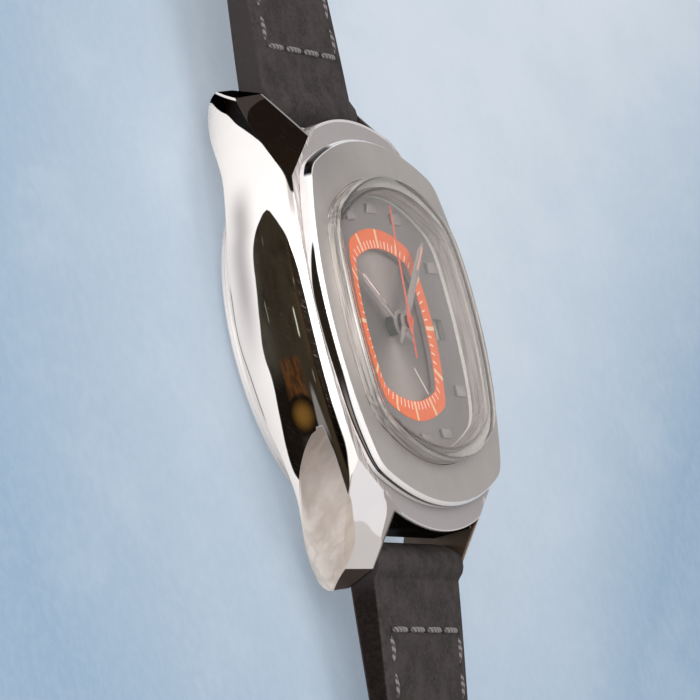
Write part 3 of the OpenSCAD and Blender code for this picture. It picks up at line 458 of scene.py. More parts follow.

    # The flank: a soft grey panel, the thin dark line of the back's joint, the grey fold, wall, leaf and dark corner;
    # all but the joint's line are painted reflections
    white = m.mix(soft, "#fffaf6", "#f6f0ed")
    pale = m.curve(y, [(17, 6.0), (14.5, 5.5), (12.4, 5.2), (10.6, 5.0), (8.9, 4.8), (7.6, 4.4), (5, 4.1), (-4, 3.6)])
    panel = m.span(z, m.sub(pale, 1.1), m.add(pale, 0.7), 0.9)
    line = m.curve(y, [(8, 2.3), (4.15, 1.99), (0.43, 1.64), (-3.26, 2.06), (-6.82, 2.42), (-9, 2.7)])
    joint = m.span(z, m.sub(line, 0.07), m.add(line, 0.07), 0.07)
    edge = m.curve(y, [(10.8, 9.9), (11.34, 9.72), (12.58, 9.47), (14.08, 8.9), (15.01, 8.43), (16.05, 7.77),
                       (16.94, 7.01), (17.81, 6.15), (18.7, 5.24), (19.23, 4.83), (19.75, 4.35), (20.26, 3.65),
                       (20.73, 3.11), (21.16, 2.68), (21.55, 2.29), (21.92, 1.76)])
    tipward = m.dot(m.xyz(ax, ay, z), END)
    corner = m.mul(m.over(z, edge, 0.06), m.step(y, 10.9, 11.3), m.step(tipward, 23.78, 23.7))
    side = m.coats(
        white,
        (m.mul(panel, m.step(y, -5, 5), m.step(y, 14.0, 10.0), 0.9), "#b4adad"),
        (m.mul(joint, m.span(y, -7.0, 4.6, 0.8)), "#6e6662"),
        (m.mul(m.span(z, 9.5, 9.9, 0.1), m.step(y, 2.0, 8.0), m.blend(scratch, 0.5, 1.0)), "#9e9694"),
        (wall, beige), (leaf_reflection, dark),
        (corner, m.mix(m.step(hairs, 0.58, 0.8), "#26211f", "#605852")))

    # Lug facets, painted reflections: black at the upper lugs with the strap's reflection near the tips, white over
    # grey at the lower ones with the beige wall, dark ends, and painted highlights on bright edges
    grey_from = m.curve(ax, [(16, 17.2), (14.2, 17.39), (13.37, 17.45), (12.51, 17.83), (11.62, 18.43), (10.26, 19.0),
                             (9, 19.3)], 8.0, 18.0, 24.0)
    beige_from = m.curve(ay, [(12, 16.6), (14.5, 16.1), (15.25, 15.79), (15.65, 15.42), (16.84, 14.59),
                              (18.42, 13.55), (19.72, 13.14), (20.82, 13.37), (21.24, 13.68), (22.3, 15)],
                         10.0, 23.0, 20.0)
    band_x = m.curve(ay, [(15.0, 12.2), (15.66, 11.9), (16.17, 11.4), (17.05, 10.9), (17.82, 10.72), (18.9, 10.5),
                          (19.6, 10.1)], 10.0, 23.0, 20.0)
    strap_y = m.curve(ax, [(9, 20.85), (10.41, 20.7), (12.0, 20.2), (13.4, 19.5), (14.3, 18.8), (15.2, 18.0)],
                      8.0, 17.0, 24.0)
    strap_x = m.curve(ay, [(18.5, 15.4), (19.37, 14.61), (21.38, 12.84), (22, 12.3)], 17.0, 23.0, 20.0)
    low_facet = m.coats(
        m.mix(soft, "#faf6f7", "#e8e4e8"),
        (m.step(m.sub(ay, grey_from), -0.12, 0.06), m.mix(soft, "#ccc6c6", "#d8d3d1")),
        (m.over(ax, beige_from, 0.08), beige))
    high_facet = m.coats(
        m.mix(m.step(ay, 14, 17), "#463e38", "#423c3a"),
        (m.mul(m.step(hairs, 0.6, 0.8), 0.25), "#968d84"),
        (m.mul(m.over(ay, strap_y, 0.06), m.over(strap_x, ax, 0.08)), m.mix(fine, "#5c5450", "#7a726e")))
    face = m.coats(
        m.mix(upward, low_facet, high_facet),
        (m.mul(m.over(band_x, ax, 0.05), m.rest(upward)), "#a69f9d"),
        (m.mul(upward, m.step(ax, 10.36, 10.24)), "#f0ecee"))
    end_face = m.mix(upward, "#544943", m.mix(m.step(ax, 12.9, 12.6), "#38312d", "#5c5450"))

    # The brushed shoulder round the bezel, with a painted highlight on its rim and long streaks towards the lugs,
    # painted reflections over the brushing
    from_end = m.vec("LENGTH", m.xyz(m.x, m.add(ay, 12.4), 0.0))
    rim = m.math("MULTIPLY_ADD", m.step(y, -1.0, 0.0), -0.13, 30.9)
    reach = m.dot(m.xyz(ax, ay, 0.0), (*FACET[:2], 0.0))
    lugward = m.mul(m.most(m.step(reach, 12.36, 12.48), m.step(ay, 14.4, 12.8)),
                    m.most(upward, m.step(ax, 10.6, 11.4)))
    along = m.noise(1.5, 3, 0.6, (3.2, 0.16, 3.2))
    brushed = m.coats(
        m.mix(m.noise(6, 3, 0.6, (4, 0.3, 1)), "#969090", "#beb8b9"),
        (m.over(from_end, rim, 0.04), "#e2ddde"),
        (lugward, m.mix(m.step(along, 0.4, 0.62), "#968e8c", "#eae4e3")))

    # The walls between the lugs: pale at the 12 side; at the 6 side painted brown shade with a bright painted rim by
    # the facets, and darker painted shade away from the walls
    on_facet = m.dot(m.xyz(ax, ay, z), FACET)
    inner = m.mix(m.step(on_facet, 19.95, 20.05), m.mix(soft, "#967a64", "#54463c"), "#e2cebe")
    inner = m.mix(m.step(m.abs(m.sub(ax, GAP_HW)), 0.05, 0.02), "#3c3632", inner)

    # Each face is found by its normal or its place
    flank = m.step(m.dot(n, (1, 0, 0)), 0.45, 0.55)
    facet, end = (m.step(m.dot(n, normal), 0.972, 0.985) for normal in (FACET, END))
    shoulder = m.mul(m.step(m.dot(n, (0, 0, 1)), 0.93, 0.97), m.step(z, 9.6, 9.9))
    gap = m.mul(m.step(ax, 10.3, 10.0), m.step(ay, 15.0, 15.6), m.step(z, 9.9, 9.6))
    color = m.coats(white, (flank, side), (facet, face), (end, end_face), (shoulder, brushed),
                    (gap, m.mix(upward, inner, "#d6d0cc")))
    gap = m.mul(gap, m.rest(upward))
    shade = m.most(m.mul(m.most(m.mul(leaf_reflection, m.rest(lit)), corner), flank),
                   m.mul(facet, upward), m.mul(end, upward), gap)
    m.set(Base_Color=color, Roughness=m.blend(m.most(shoulder, gap), m.blend(fine, 0.10, 0.2), 0.36),
          Metallic=m.blend(shade, 0.28, 1.0), Specular_Tint=m.mix(shade, (1, 1, 1), (0.08, 0.07, 0.06)),
          Normal=m.bump(scratch, 0.004, 0.25, m.rounded(0.16, 6)))
    return m


def streaked(name, dark, light, rough=0.3, metallic=0.8, scale=3.0, stretch=(6, 0.4, 6), depth=0.006):
    """Brushed metal: long streaks along Y by default."""
    m = Mat(name, Metallic=metallic)
    s = m.noise(scale, 4, 0.65, stretch)
    cloud = m.noise(0.35, 2)
    m.set(Base_Color=m.mix(m.blend(0.4, s, cloud), dark, light), Roughness=m.blend(s, rough * 0.8, rough * 1.25),
          Normal=m.bump(s, depth, 0.4))
    return m


def speckled(name, dark, light, rough, metallic=0.0, scale=2.5, depth=0.01, **sockets):
    m = Mat(name, Metallic=metallic, **sockets)
    s = m.noise(scale, 5, 0.65)
    m.set(Base_Color=m.mix(m.step(s, 0.3, 0.7), dark, light), Roughness=m.blend(s, rough * 0.85, rough * 1.15),
          Normal=m.bump(m.noise(scale * 5, 3), depth, 0.5))
    return m


CASE = steel_paint()
POLISHED = streaked("polished_steel", "#e8e3e1", "#faf6f5", 0.14, 0.4, 1.0, (1, 1, 1), 0.002)
BRUSHED = streaked("satin_steel", "#8e8883", "#b8b2ac", 0.34, 0.75)
MOVEMENT = {"satin_steel": BRUSHED, "polished_steel": POLISHED,
            "white_gasket": speckled("gasket_white", "#dededa", "#f0f0ec", 0.5),
            "ruby": speckled("ruby", "#960e28", "#ba1e3c", 0.1, Coat_Weight=0.6)}
for kind, slot, *look in (
        (speckled, "seal_rubber", "#1e1e1e", "#30302f", 0.7),
        (streaked, "plate_brass", "#bea064", "#dec488", 0.32, 0.9, 2.0, (1, 1, 1)),
        (streaked, "bridge_steel", "#b2afa8", "#d6d2cc", 0.3, 0.9, 1.6, (8, 0.5, 1)),
        (streaked, "wheel_brass", "#c6a86a", "#e4ca8e", 0.22, 1.0, 2.0, (1, 1, 1)),
        (speckled, "blued_screw", "#223478", "#344ea0", 0.2, 0.9),
        (streaked, "pinion_steel", "#a8a8aa", "#ceced0", 0.22, 1.0, 3.0, (1, 1, 4)),
        (speckled, "hair_blue", "#2a3c82", "#3e58a8", 0.25, 0.9),
        (streaked, "rotor_metal", "#a0988e", "#cec6ba", 0.3, 0.9, 1.2, (1, 9, 1))):
    MOVEMENT[slot] = kind(slot, *look)


def suede(name, top, side):
    m = Mat(name, Roughness=0.95, Sheen_Weight=0.1, Sheen_Roughness=0.6, Sheen_Tint="#968c86",
            Specular_IOR_Level=0.1)
    nz = m.split(m.vec("ABSOLUTE", m.normal))[2]
    nap = m.noise(2.6, 5, 0.85)
    cloud = m.noise(0.42, 4, 0.65)
    hair = m.noise(14, 2, 0.8, (1, 0.35, 1))
    fleck = m.noise(16, 2, 0.6, shift=4.0)
    face = m.coats(m.mix(m.step(cloud, 0.35, 0.65), linear(top, 0.62), linear(top, 1.15)),
                   (m.mul(m.step(nap, 0.42, 0.66), 0.5), linear(top, 1.9)),
                   (m.mul(m.step(fleck, 0.62, 0.74), 0.5), linear(top, 2.2)))
    # The sides are darker than the top; on the lower strap they are near-black, which is painted shade
    edge = m.mix(m.step(m.y, -20.0, -24.0), m.mix(nap, side, linear(side, 1.6)),
                 m.mix(m.step(nap, 0.35, 0.7), "#0e0a09", "#241d1b"))
    m.set(Base_Color=m.mix(m.step(nz, 0.25, 0.7), edge, face),
          Normal=m.bump(hair, 0.03, 0.7, m.bump(nap, 0.12, 0.9)))
    return m


SUEDE = suede("strap_suede", "#3d3939", "#322f2f")


def thread_mat():
    """Twisted thread: slanting plies, with painted shade between them."""
    m = Mat("strap_thread", Roughness=0.8, Sheen_Weight=0.2)
    ply = m.math("MULTIPLY_ADD", m.math("SINE", m.mul(m.add(m.x, m.y), 9.5)), 0.5, 0.5)
    light = m.mul(m.step(ply, 0.15, 0.75), m.blend(m.noise(5.0, 4, 0.7), 0.6, 1.3))
    m.set(Base_Color=m.mix(light, "#3e393a", "#80797a"), Normal=m.bump(ply, 0.04, 0.7))
    return m


THREAD = thread_mat()
HOLE = speckled("stitch_hole", "#12100f", "#1e1b19", 0.9)


def dial_metal(name, dark, light, focus=1.0):
    """Grey dial paint with fine rays from the centre and a painted soft light across the middle."""
    m = Mat(name, Metallic=0.35)
    flat = m.vec("NORMALIZE", m.vec("MULTIPLY", m.pos, (1, 1, 0)))
    rays = m.noise(9, 4, 0.7, at=flat)
    glow = m.math("POWER", m.abs(m.split(flat)[1]), 2.0 * focus)
    k = m.blend(0.15, m.blend(0.3, glow, rays), m.noise(2.2, 4, 0.6))
    m.set(Base_Color=m.mix(k, dark, light), Roughness=m.blend(rays, 0.36, 0.5), Normal=m.bump(rays, 0.01, 0.4))
    return m


DIAL = dial_metal("dial_grey", "#686464", "#928d8c")
DISC = dial_metal("disc_grey", "#484444", "#beb4b0", 1.7)
ORANGE = speckled("ring_orange", "#ec6216", "#f47228", 0.55, scale=3.0, Specular_IOR_Level=0.25)
CREAM = speckled("lume_cream", "#eecb9e", "#f8dab2", 0.6, scale=4.0)
TICK = speckled("tick_white", "#f8e4d6", "#fff4ec", 0.5, scale=4.0)
DATE = speckled("date_white", "#ced4cc", "#e4e8e2", 0.5)
INK = speckled("date_ink", "#32302e", "#464240", 0.6)
HAND = streaked("hand_steel", "#928b89", "#c4bcb9", 0.24, 0.45, 4.0, (1, 1, 1), 0.004)
HAND_DARK = streaked("hand_ridge", "#4a3c32", "#6e5c50", 0.3, 0.6, 4.0, (1, 1, 1))
LUME = speckled("hand_lume", "#e6d0cc", "#f6e4de", 0.5, scale=4.0)
LUME_WARM = speckled("hand_lume_warm", "#e29882", "#eeb09c", 0.5, scale=4.0)
SECONDS = speckled("seconds_orange", "#d4502c", "#e2623c", 0.4, scale=3.0)
HUB = streaked("hub_steel", "#14100e", "#423831", 0.25, 1.0, 3.0, (1, 1, 1))
HUB.set(Specular_Tint=(0.3, 0.25, 0.22))
BUCKLE = streaked("buckle_steel", "#c4c0bc", "#e8e4e0", 0.18, 0.9, 1.4, (2, 2, 2), 0.003)


def glass_mat():
    m = Mat("crystal_glass", Roughness=0.015, IOR=1.5, Transmission_Weight=1.0)
    m.set(Base_Color=m.mix(m.noise(0.5, 2), (0.965, 0.945, 0.935), (0.985, 0.965, 0.957)))
    clear = m.node("BsdfTransparent", ((0.94, 0.935, 0.93),))
    shadow = m.node("LightPath").outputs["Is Shadow Ray"]
    both = m.node("MixShader", (shadow, m.p.outputs[0], clear.outputs[0]))
    m.t.links.new(both.outputs[0], m.out.inputs[0])
    return m


GLASS = glass_mat()


# Floor

def floor_mat():
    m = Mat("floor_paper", Roughness=0.9, Specular_IOR_Level=0.1)
    # A wide soft painted glow behind the watch, falling off to the left and the lower right
    up = m.sub(m.y, 35.0)
    u = m.math("DIVIDE", m.sub(m.x, m.math("MULTIPLY_ADD", up, 0.94, 60.0)), 140.0)
    v = m.math("DIVIDE", up, 101.0)
    right, left = m.most(m.sub(m.x, 50.0), 0.0), m.most(m.sub(22.0, m.x), 0.0)
    fall = m.add(m.add(m.mul(u, u), m.mul(v, v)), m.mul(right, up, -0.00022))
    fall = m.math("MULTIPLY_ADD", left, 0.004, m.mul(fall, 1.1))
    cloud = m.noise(0.055, 4, 0.6, (1, 1.6, 1))
    weave = m.noise(0.7, 4, 0.7)
    paper = m.coats(
        m.mix(m.math("MINIMUM", fall, 1.0), "#d3dde8", "#9ab3cb"),
        (m.mul(m.step(cloud, 0.46, 0.62), 0.07), "#96b2cc"),
        (m.mul(m.step(cloud, 0.5, 0.36), 0.08), "#e2eaf2"),
        (m.mul(m.step(weave, 0.42, 0.6), 0.05), "#e8eef4"),
        (m.step(m.vec("LENGTH", m.pos), 110.0, 220.0), "#bac9d8"))
    path = m.node("LightPath").outputs
    seen = m.most(path["Is Camera Ray"], path["Is Glossy Ray"], path["Is Transmission Ray"])
    # Half of the seen colour is paint and half a faint glow, so the shadow stays but is soft
    m.set(Base_Color=m.mix(seen, "#e8e6e4", m.mix(0.5, (0, 0, 0), paper)), Emission_Color=paper,
          Emission_Strength=m.mul(seen, 0.485))
    return m


floor = mesh_object("floor", [(-2, -2, 0), (2, -2, 0), (2, 2, 0), (-2, 2, 0)], [(0, 1, 2, 3)])
floor.data.materials.append(floor_mat().m)
floor.location.z = -0.00002


# Case: the flanks, lugs, pocket and bores

def flank_section():
    """The flank's section (r, z), with its rolled top edge."""
    bend = 7.2
    rows = [(FLANK_R - bend + math.sqrt(bend ** 2 - 0.98 * (bend - z) ** 2), z)
            for z in [bend * i / 30 for i in range(31)]]
    edge = [(FLANK_R - 0.5 * t - 0.04 * sin(pi * t), FLANK_TOP + t) for t in (0.3, 0.6, 1.0)]
    return [(0, 0)] + rows + [(FLANK_R, FLANK_TOP), (FLANK_R - 0.05, FLANK_TOP + 0.12)] + edge + [(0, SHOULDER_Z)]


def under_z(y):
    """The case's underside: low in the middle and at the lug tips."""
    high_y, middle_z, tip_z = 13.5, 1.3, 1.4
    if y < high_y:
        return middle_z + (LUG_Z - middle_z) * ease(y / high_y)
    return LUG_Z - (LUG_Z - tip_z) * ease((y - high_y) / (LUG_Y - high_y))


def side_slab():
    half = [(y, under_z(y)) for y in [LUG_Y * i / 60 for i in range(61)]]
    half += [(LUG_Y + LUG_R * sin(t), LUG_Z - LUG_R * cos(t)) for t in [pi / 2 * i / 16 for i in range(1, 17)]]
    y1 = LUG_Y + LUG_R
    line = half + [(y1, 10.5), (-y1, 10.5)] + [(-y, z) for y, z in half[:0:-1]]
    return tool(*loft([[(x, y, z) for y, z in line] for x in (-37, 37)]))


def facet_cutter(p, tilt, turn):
    """The corners of a large box that stands on the plane through p."""
    turned = Matrix.Rotation(rad(turn), 4, "Z") @ Matrix.Rotation(rad(tilt), 4, "Y")
    q = Matrix.Translation(p) @ turned
    return [q @ Vector((30 * a, 30 * b, c)) for c in (0, 30) for a, b in ((-1, -1), (1, -1), (1, 1), (-1, 1))]


def case_shell():
    # Fine steps where the flank stays and coarse ones where it is cut away
    angles = [pi + rad(0.5 * i) for i in range(-64, 65)]
    angles += [rad(-148 + 8 * i) + 2 * pi for i in range(1, 37)]
    verts, faces = revolve(flank_section(), angles)
    near = mesh_object("case", [(v[0] + FLANK_OFF, v[1], v[2]) for v in verts], faces)
    far = tool([(-v[0] - FLANK_OFF, v[1], v[2]) for v in verts], faces)
    boolean(near, "INTERSECT", far, side_slab())
    base = revolve([(0, 1.0), (15.42, 1.0), (15.5, 1.08), (15.5, 3.8), (0, 3.8)], turns(256))
    boolean(near, "UNION", tool(*base))
    facet_y = 12.3
    facet_x = math.sqrt(FLANK_R ** 2 - facet_y ** 2) - FLANK_OFF
    for p, tilt, turn in (((-facet_x, facet_y, 9.9), 40.7, 123.3), ((-GAP_HW, 21.1, 7.1), 69.3, 103.9)):
        corners = facet_cutter(p, tilt, turn)
        for sx in (1, -1):
            for sy in (1, -1):
                cut(near, tool([(v[0] * sx, v[1] * sy, v[2]) for v in corners], BOX))
    # The gap between the lugs, open above and below, with the bars' holes
    r, sweep = 31, [rad(-18.92 + 37.84 * i / 60) for i in range(61)]
    arc = [(r * sin(t), STRAP_Y - r + r * cos(t)) for t in sweep]
    gap = arc + [(GAP_HW, 45), (-GAP_HW, 45)]
    gap[0], gap[60] = (-GAP_HW, arc[0][1]), (GAP_HW, arc[60][1])
    under = [(17.8, 9.1), (17.8, 5.0), (15.9, 1.0), (15.9, -0.5), (45, -0.5), (45, 9.1)]
    for s in (1, -1):
        cut(near, prism([(x, y * s) for x, y in gap], 8.6, 10.6),
            tool(*loft([[(x, y * s, z) for y, z in under] for x in (-GAP_HW, GAP_HW)])),
            rod(0.5, (-BAR_HL, s * BAR_Y, BAR_Z), (BAR_HL, s * BAR_Y, BAR_Z), 32))
    # The movement's pocket, the crystal's opening, the crowns' bores and the back's groove
    cut(near, rod(14.2, (0, 0, 0.5), (0, 0, 8.8), 256), prism(cushion(CRYSTAL, -0.1), 8.8, 10.5))
    for s in (1, -1):
        u, up = Vector((cos(s * pi / 6), sin(s * pi / 6), 0)), Vector((0, 0, CROWN_Z))
        cut(near, rod(1.0, u * 13.2 + up, u * 40 + up), rod(2.5, u * 19.4 + up, u * 40 + up, 96))
    groove = [circle(r, z, 128) for r, z in ((14.5, 0.5), (15.0, 0.5), (15.0, 1.44), (14.5, 1.44))]
    cut(near, tool(*loft(groove, closed=True)))
    return near


case_mesh = case_shell()
case_mesh.name = "case_shell"
dress(case_mesh, "case", CASE, ("case_middle",), 24)


# Bezel

def bezel_ring():
    """A closed band; each row is an outline, how far in it lies and its height."""
    rows = [(BEZEL, 0.06, SHOULDER_Z), (BEZEL, 0.0, 10.06), (BEZEL, 0.0, 10.5), (BEZEL, 0.0, 10.82),
            (BEZEL, 0.03, 10.88), (BEZEL, 0.22, 11.11), (BEZEL, 0.27, BEZEL_Z), (BEZEL, 1.0, BEZEL_Z),
            (CRYSTAL, -0.6, BEZEL_Z), (CRYSTAL, -0.12, BEZEL_Z), (CRYSTAL, -0.04, 11.10), (CRYSTAL, -0.03, 11.0),
            (CRYSTAL, -0.03, SHOULDER_Z)]
    return mesh_object("bezel_ring", *loft([at_z(cushion(outline, d), z) for outline, d, z in rows], closed=True))


def bezel_mat():
    """A brushed top, painted darker towards 12 and 9, over a bright wall with one painted dark reflection and painted
    shade in its corner.
    """
    m = Mat("bezel_steel")
    grain = m.noise(1.3, 5, 0.8, (3.2, 0.22, 1))
    cloud = m.noise(0.22, 2, shift=5.0)
    top = m.mix(m.blend(0.5, grain, cloud), "#a8a29f", "#cec8c5")
    # Painted shade: the top darker towards 12 and 9
    top = m.mix(m.mul(m.step(m.y, 9.0, 15.0), m.step(m.x, 2.0, -13.0), 0.4), top, "#706a69")
    # The painted dark reflection: a line along the wall, paler in its core towards 6
    middle = m.curve(m.y, [(-16, 10.6), (-13.69, 10.56), (-9.1, 10.40), (-5.01, 10.5), (-1.48, 10.47), (2.08, 10.42),
                           (6.33, 10.74), (8, 11.0)], top=12.0)
    wide = m.curve(m.y, [(-16, 0.14), (-9, 0.24), (-4, 0.36), (0, 0.40), (4, 0.26), (6.4, 0.0), (6.6, -0.2),
                         (16, -0.2)], top=1.0)
    off = m.abs(m.sub(m.z, middle))
    line = m.over(wide, off, 0.05)
    core = m.mul(m.step(m.sub(wide, off), 0.10, 0.16), m.step(m.mul(m.y, -1.0), 5.0, 8.5))
    dark = m.mix(m.noise(3.0, 4, 0.8), "#1e140c", "#4a3a2c")
    # Painted shade in the wall's corner near 11
    corner = m.mul(m.step(m.y, 12.3, 12.7), m.step(m.x, -7.6, -9.4), m.span(m.z, 10.45, 11.10, 0.05))
    wall = m.coats(m.mix(grain, "#f4f0ef", "#fcf9f8"),
                   (line, m.mix(core, dark, "#867c74")), (corner, "#1e1916"))
    mirror = m.most(m.mul(line, m.rest(core)), corner)
    flat = m.step(m.split(m.normal)[2], 0.86, 0.95)
    m.set(Base_Color=m.mix(flat, wall, top), Roughness=m.blend(flat, 0.12, m.blend(grain, 0.3, 0.45)),
          Metallic=m.blend(flat, m.blend(mirror, 0.25, 1.0), 0.55),
          Normal=m.bump(grain, 0.006, 0.3, m.rounded(0.1, 4)))
    return m


dress(bezel_ring(), "case", bezel_mat(), ("bezel",), 24)


# Crystal: an upright wall with a rounded edge under a low dome

def domed(top, d, f=1.0, drop=0.0):
    """The crystal's outline, d further in and f times as large, laid on the dome under top."""
    places = [(x * f, y * f) for x, y in cushion(CRYSTAL, d)]
    return [(x, y, top - (x * x + y * y) / (2 * DOME_R) - drop) for x, y in places]


def crystal_piece():
    low = TOP_Z - GLASS_T
    quarter = [pi / 2 * i / 6 for i in range(7)]
    shares = (0.9, 0.8, 0.7, 0.55, 0.4, 0.25, 0.1)
    rows = ((0.05, FOOT_Z), (0.0, FOOT_Z + 0.05), (0.0, 10.6), (0.0, WALL_Z))
    outer = [at_z(cushion(CRYSTAL, d), z) for d, z in rows]
    outer += [domed(TOP_Z, 0.35 * (1 - cos(a)), drop=0.35 * (1 - sin(a))) for a in quarter]
    outer += [domed(TOP_Z, 0.6)] + [domed(TOP_Z, 0.35, f) for f in shares]
    inner = [domed(low, 1.4, f) for f in shares[::-1]]
    inner += [domed(low, 1.1 + 0.3 * (1 - cos(a)), drop=0.3 * (1 - sin(a))) for a in quarter[::-1]]
    inner.append(at_z(cushion(CRYSTAL, 1.1), FOOT_Z))
    verts, faces = loft(outer, caps=False)
    more, extra = loft(inner, caps=False)
    n, base = len(outer[0]), len(verts)
    faces += [tuple(base + i for i in f) for f in extra]
    last, end, pole = base - n, base + len(more) - n, base + len(more)
    for j in range(n):
        k = (j + 1) % n
        faces += [(last + j, last + k, pole), (base + j, base + k, pole + 1), (j, k, end + k, end + j)]
    return mesh_object("crystal_dome", verts + more + [(0, 0, TOP_Z), (0, 0, low)], faces)


def crystal_wall_mat():
    """The crystal's wall and rounded edge, drawn opaque with painted reflections: grey with streaks along its length,
    an even grey on top, painted glints and a bright painted highlight on the far side.
    """
    m = Mat("crystal_wall", Metallic=0.2)
    ax, ay = m.abs(m.x), m.abs(m.y)
    deep = m.math("MINIMUM", m.sub(m.sub(CRYSTAL[0], ax), m.math("DIVIDE", m.mul(ay, ay), 2.0 * CRYSTAL[2])),
                  m.sub(m.sub(CRYSTAL[1], ay), m.math("DIVIDE", m.mul(ax, ax), 2.0 * CRYSTAL[3])))
    along = m.xyz(m.mul(deep, 1.6), m.mul(m.z, 1.8), m.mul(m.add(m.x, m.y), 0.07))
    s = m.noise(2.0, 4, 0.65, at=along)
    glint = m.step(m.noise(3.2, 2, 0.5, at=along, shift=7.0), 0.66, 0.74)
    top = m.step(m.z, 12.15, 12.5)
    far = m.mul(m.step(m.x, 5.0, 11.0), m.span(m.z, 10.75, 11.3, 0.3))
    color = m.coats(
        m.mix(m.step(s, 0.32, 0.68), "#7e7874", "#c4beba"),
        (m.mul(top, 0.75), "#a49e9b"),
        (m.mul(glint, m.blend(top, 0.6, 0.1)), "#f6f2f0"),
        (m.mul(far, m.blend(s, 0.6, 1.0)), "#faf5f2"))
    m.set(Base_Color=color, Roughness=m.blend(s, 0.14, 0.3), Normal=m.bump(s, 0.006, 0.4))
    return m


crystal = dress(crystal_piece(), "case", [GLASS, crystal_wall_mat()], ("crystal",), 50)
# The outer wall with its rounded edge, and the steep inner faces low down, take the opaque grey with painted
# reflections
outer_wall = 8 * len(cushion(CRYSTAL))
for f in crystal.data.polygons:
    if f.index < outer_wall or (abs(f.normal.z) < 0.3 and f.center.z < (WALL_Z - 0.5) * MM):
        f.material_index = 1


# Dial: ticks, bars and markers

def crossing(points, angle):
    """Where the ray at angle (clockwise from 12) leaves an outline."""
    d = (sin(angle), cos(angle))
    n = len(points)
    for i in range(n):
        (ax, ay), (bx, by) = points[i], points[(i + 1) % n]
        ex, ey = bx - ax, by - ay
        det = d[0] * -ey + d[1] * ex
        if abs(det) < 1e-9:
            continue
        t = (-ax * ey + ay * ex) / det
        s = (d[0] * ay - d[1] * ax) / det
        if t > 0 and -1e-9 <= s <= 1 + 1e-9:
            return t
    return 0


def bar(a, b, w, z, t, store):
    """Adds a flat bar from a to b, w wide and t thick with its foot at z, to a pair of verts and faces."""
    verts, faces = store
    d = Vector(b) - Vector(a)
    side = Vector((-d.y, d.x)).normalized() * w / 2
    k = len(verts)
    for h in (z, z + t):
        verts += [(p[0] + side.x * s, p[1] + side.y * s, h) for p, s in ((a, 1), (b, 1), (b, -1), (a, -1))]
    faces += [tuple(k + i for i in f) for f in BOX]


inner_line, outer_line = cushion(RING_HOLE), cushion(RING)
ticks, bars = ([], []), ([], [])
for i in range(60):
    angle = rad(6 * i)
    d = (sin(angle), cos(angle))
    r0, r1 = crossing(inner_line, angle) + 0.06, crossing(outer_line, angle) - 0.06
    if i % 5:
        r1 = r0 + (r1 - r0) * 0.43
    store = ticks if i % 5 else bars
    bar((d[0] * r0, d[1] * r0), (d[0] * r1, d[1] * r1), 0.13 if i % 5 else 0.36, RING_Z, 0.025, store)
dress(mesh_object("minute_ticks", *ticks), "case", TICK)
dress(mesh_object("five_minute_bars", *bars), "case", CREAM)

pointer = ([], [])
bar((3.55, -3.6), (5.5, -5.9), 0.16, DISC_Z, 0.02, pointer)
dress(mesh_object("alarm_pointer", *pointer), "alarm_setting", TICK)


# The hour blocks' places, clockwise from 12, with none at 3
MARKERS = ((0, 10.53), (5.47, 9.74), (11.35, 5.62), (11.35, -5.62), (5.47, -9.74), (0, -10.53), (-5.47, -9.74),
           (-11.35, -5.62), (-11.58, 0), (-11.35, 5.62), (-5.47, 9.74))


def marker_mat():
    """Grey brushed tops, painted highlights on the ends towards 6 and painted shade on the sides towards 9."""
    m = Mat("marker_steel", Roughness=0.25, Metallic=0.4)
    nx, ny, _ = m.split(m.normal)
    s = m.noise(3.0, 3, 0.6, (4, 1, 1))
    color = m.coats(m.mix(s, "#928d8d", "#b0abaa"),
                    (m.step(ny, -0.4, -0.8), "#d6d0ce"), (m.step(nx, -0.4, -0.8), "#605c5c"))
    m.set(Base_Color=color, Normal=m.bump(s, 0.004, 0.4))
    return m


blocks = ([], [])
for x, y in MARKERS:
    bar((x, y - 0.475), (x, y + 0.475), 2.3, DIAL_Z, 0.3, blocks)
dress(bevelled(mesh_object("hour_blocks", *blocks), 0.06), "case", marker_mat(), ("hour_markers",))

# The date: a pair of plain digits in the window, each drawn as the segments that it lights
ink = ([], [])


def digit(segments, x):
    w, h = 0.25, 0.55
    ends = {"a": (-w, h, w, h), "b": (w, h, w, 0), "c": (w, 0, w, -h), "d": (-w, -h, w, -h),
            "e": (-w, 0, -w, -h), "f": (-w, h, -w, 0), "g": (-w, 0, w, 0)}
    for x0, y0, x1, y1 in (ends[s] for s in segments):
        bar((x + x0, y0), (x + x1, y1), 0.16, DATE_Z, 0.015, ink)


digit("abged", 9.85)
digit("abcdefg", 10.65)
dress(mesh_object("date_digits", *ink), "date", INK)


# Hands, each drawn along +Y with a ridge along its middle and turned clockwise

def clockwise(o, turn):
    o.data.transform(Matrix.Rotation(-rad(turn), 4, "Z"))


def hand(name, stations, z, ridge, boss, turn, body, node, mat):
    """stations are (distance, half width) along the hand; boss is its radius, top and hole."""
    verts, faces = [], []
    for d, w in stations:
        verts += [(-w, d, z), (-w, d, z + 0.07), (0, d, z + ridge), (w, d, z + 0.07), (w, d, z)]
    for i in range(len(stations) - 1):
        a, b = 5 * i, 5 * i + 5
        faces += [(a + j, a + j + 1, b + j + 1, b + j) for j in range(4)] + [(a + 4, a, b, b + 4)]
    faces += [(4, 3, 2, 1, 0), tuple(len(verts) - 5 + j for j in range(5))]
    o = mesh_object(name, verts, faces)
    r, top, hole = boss
    boolean(o, "UNION", rod(r, (0, 0, z), (0, 0, top - 0.05)))
    cut(o, rod(hole, (0, 0, z - 1), (0, 0, top + 1)))
    clockwise(o, turn)
    dress(o, body, mat, (node,), 15)


def inlay(name, d0, d1, w, z, turn, body, mat):
    store = ([], [])
    bar((0, d0), (0, d1), w, z, 0.035, store)
    o = mesh_object(name, *store)
    clockwise(o, turn)
    dress(o, body, mat)


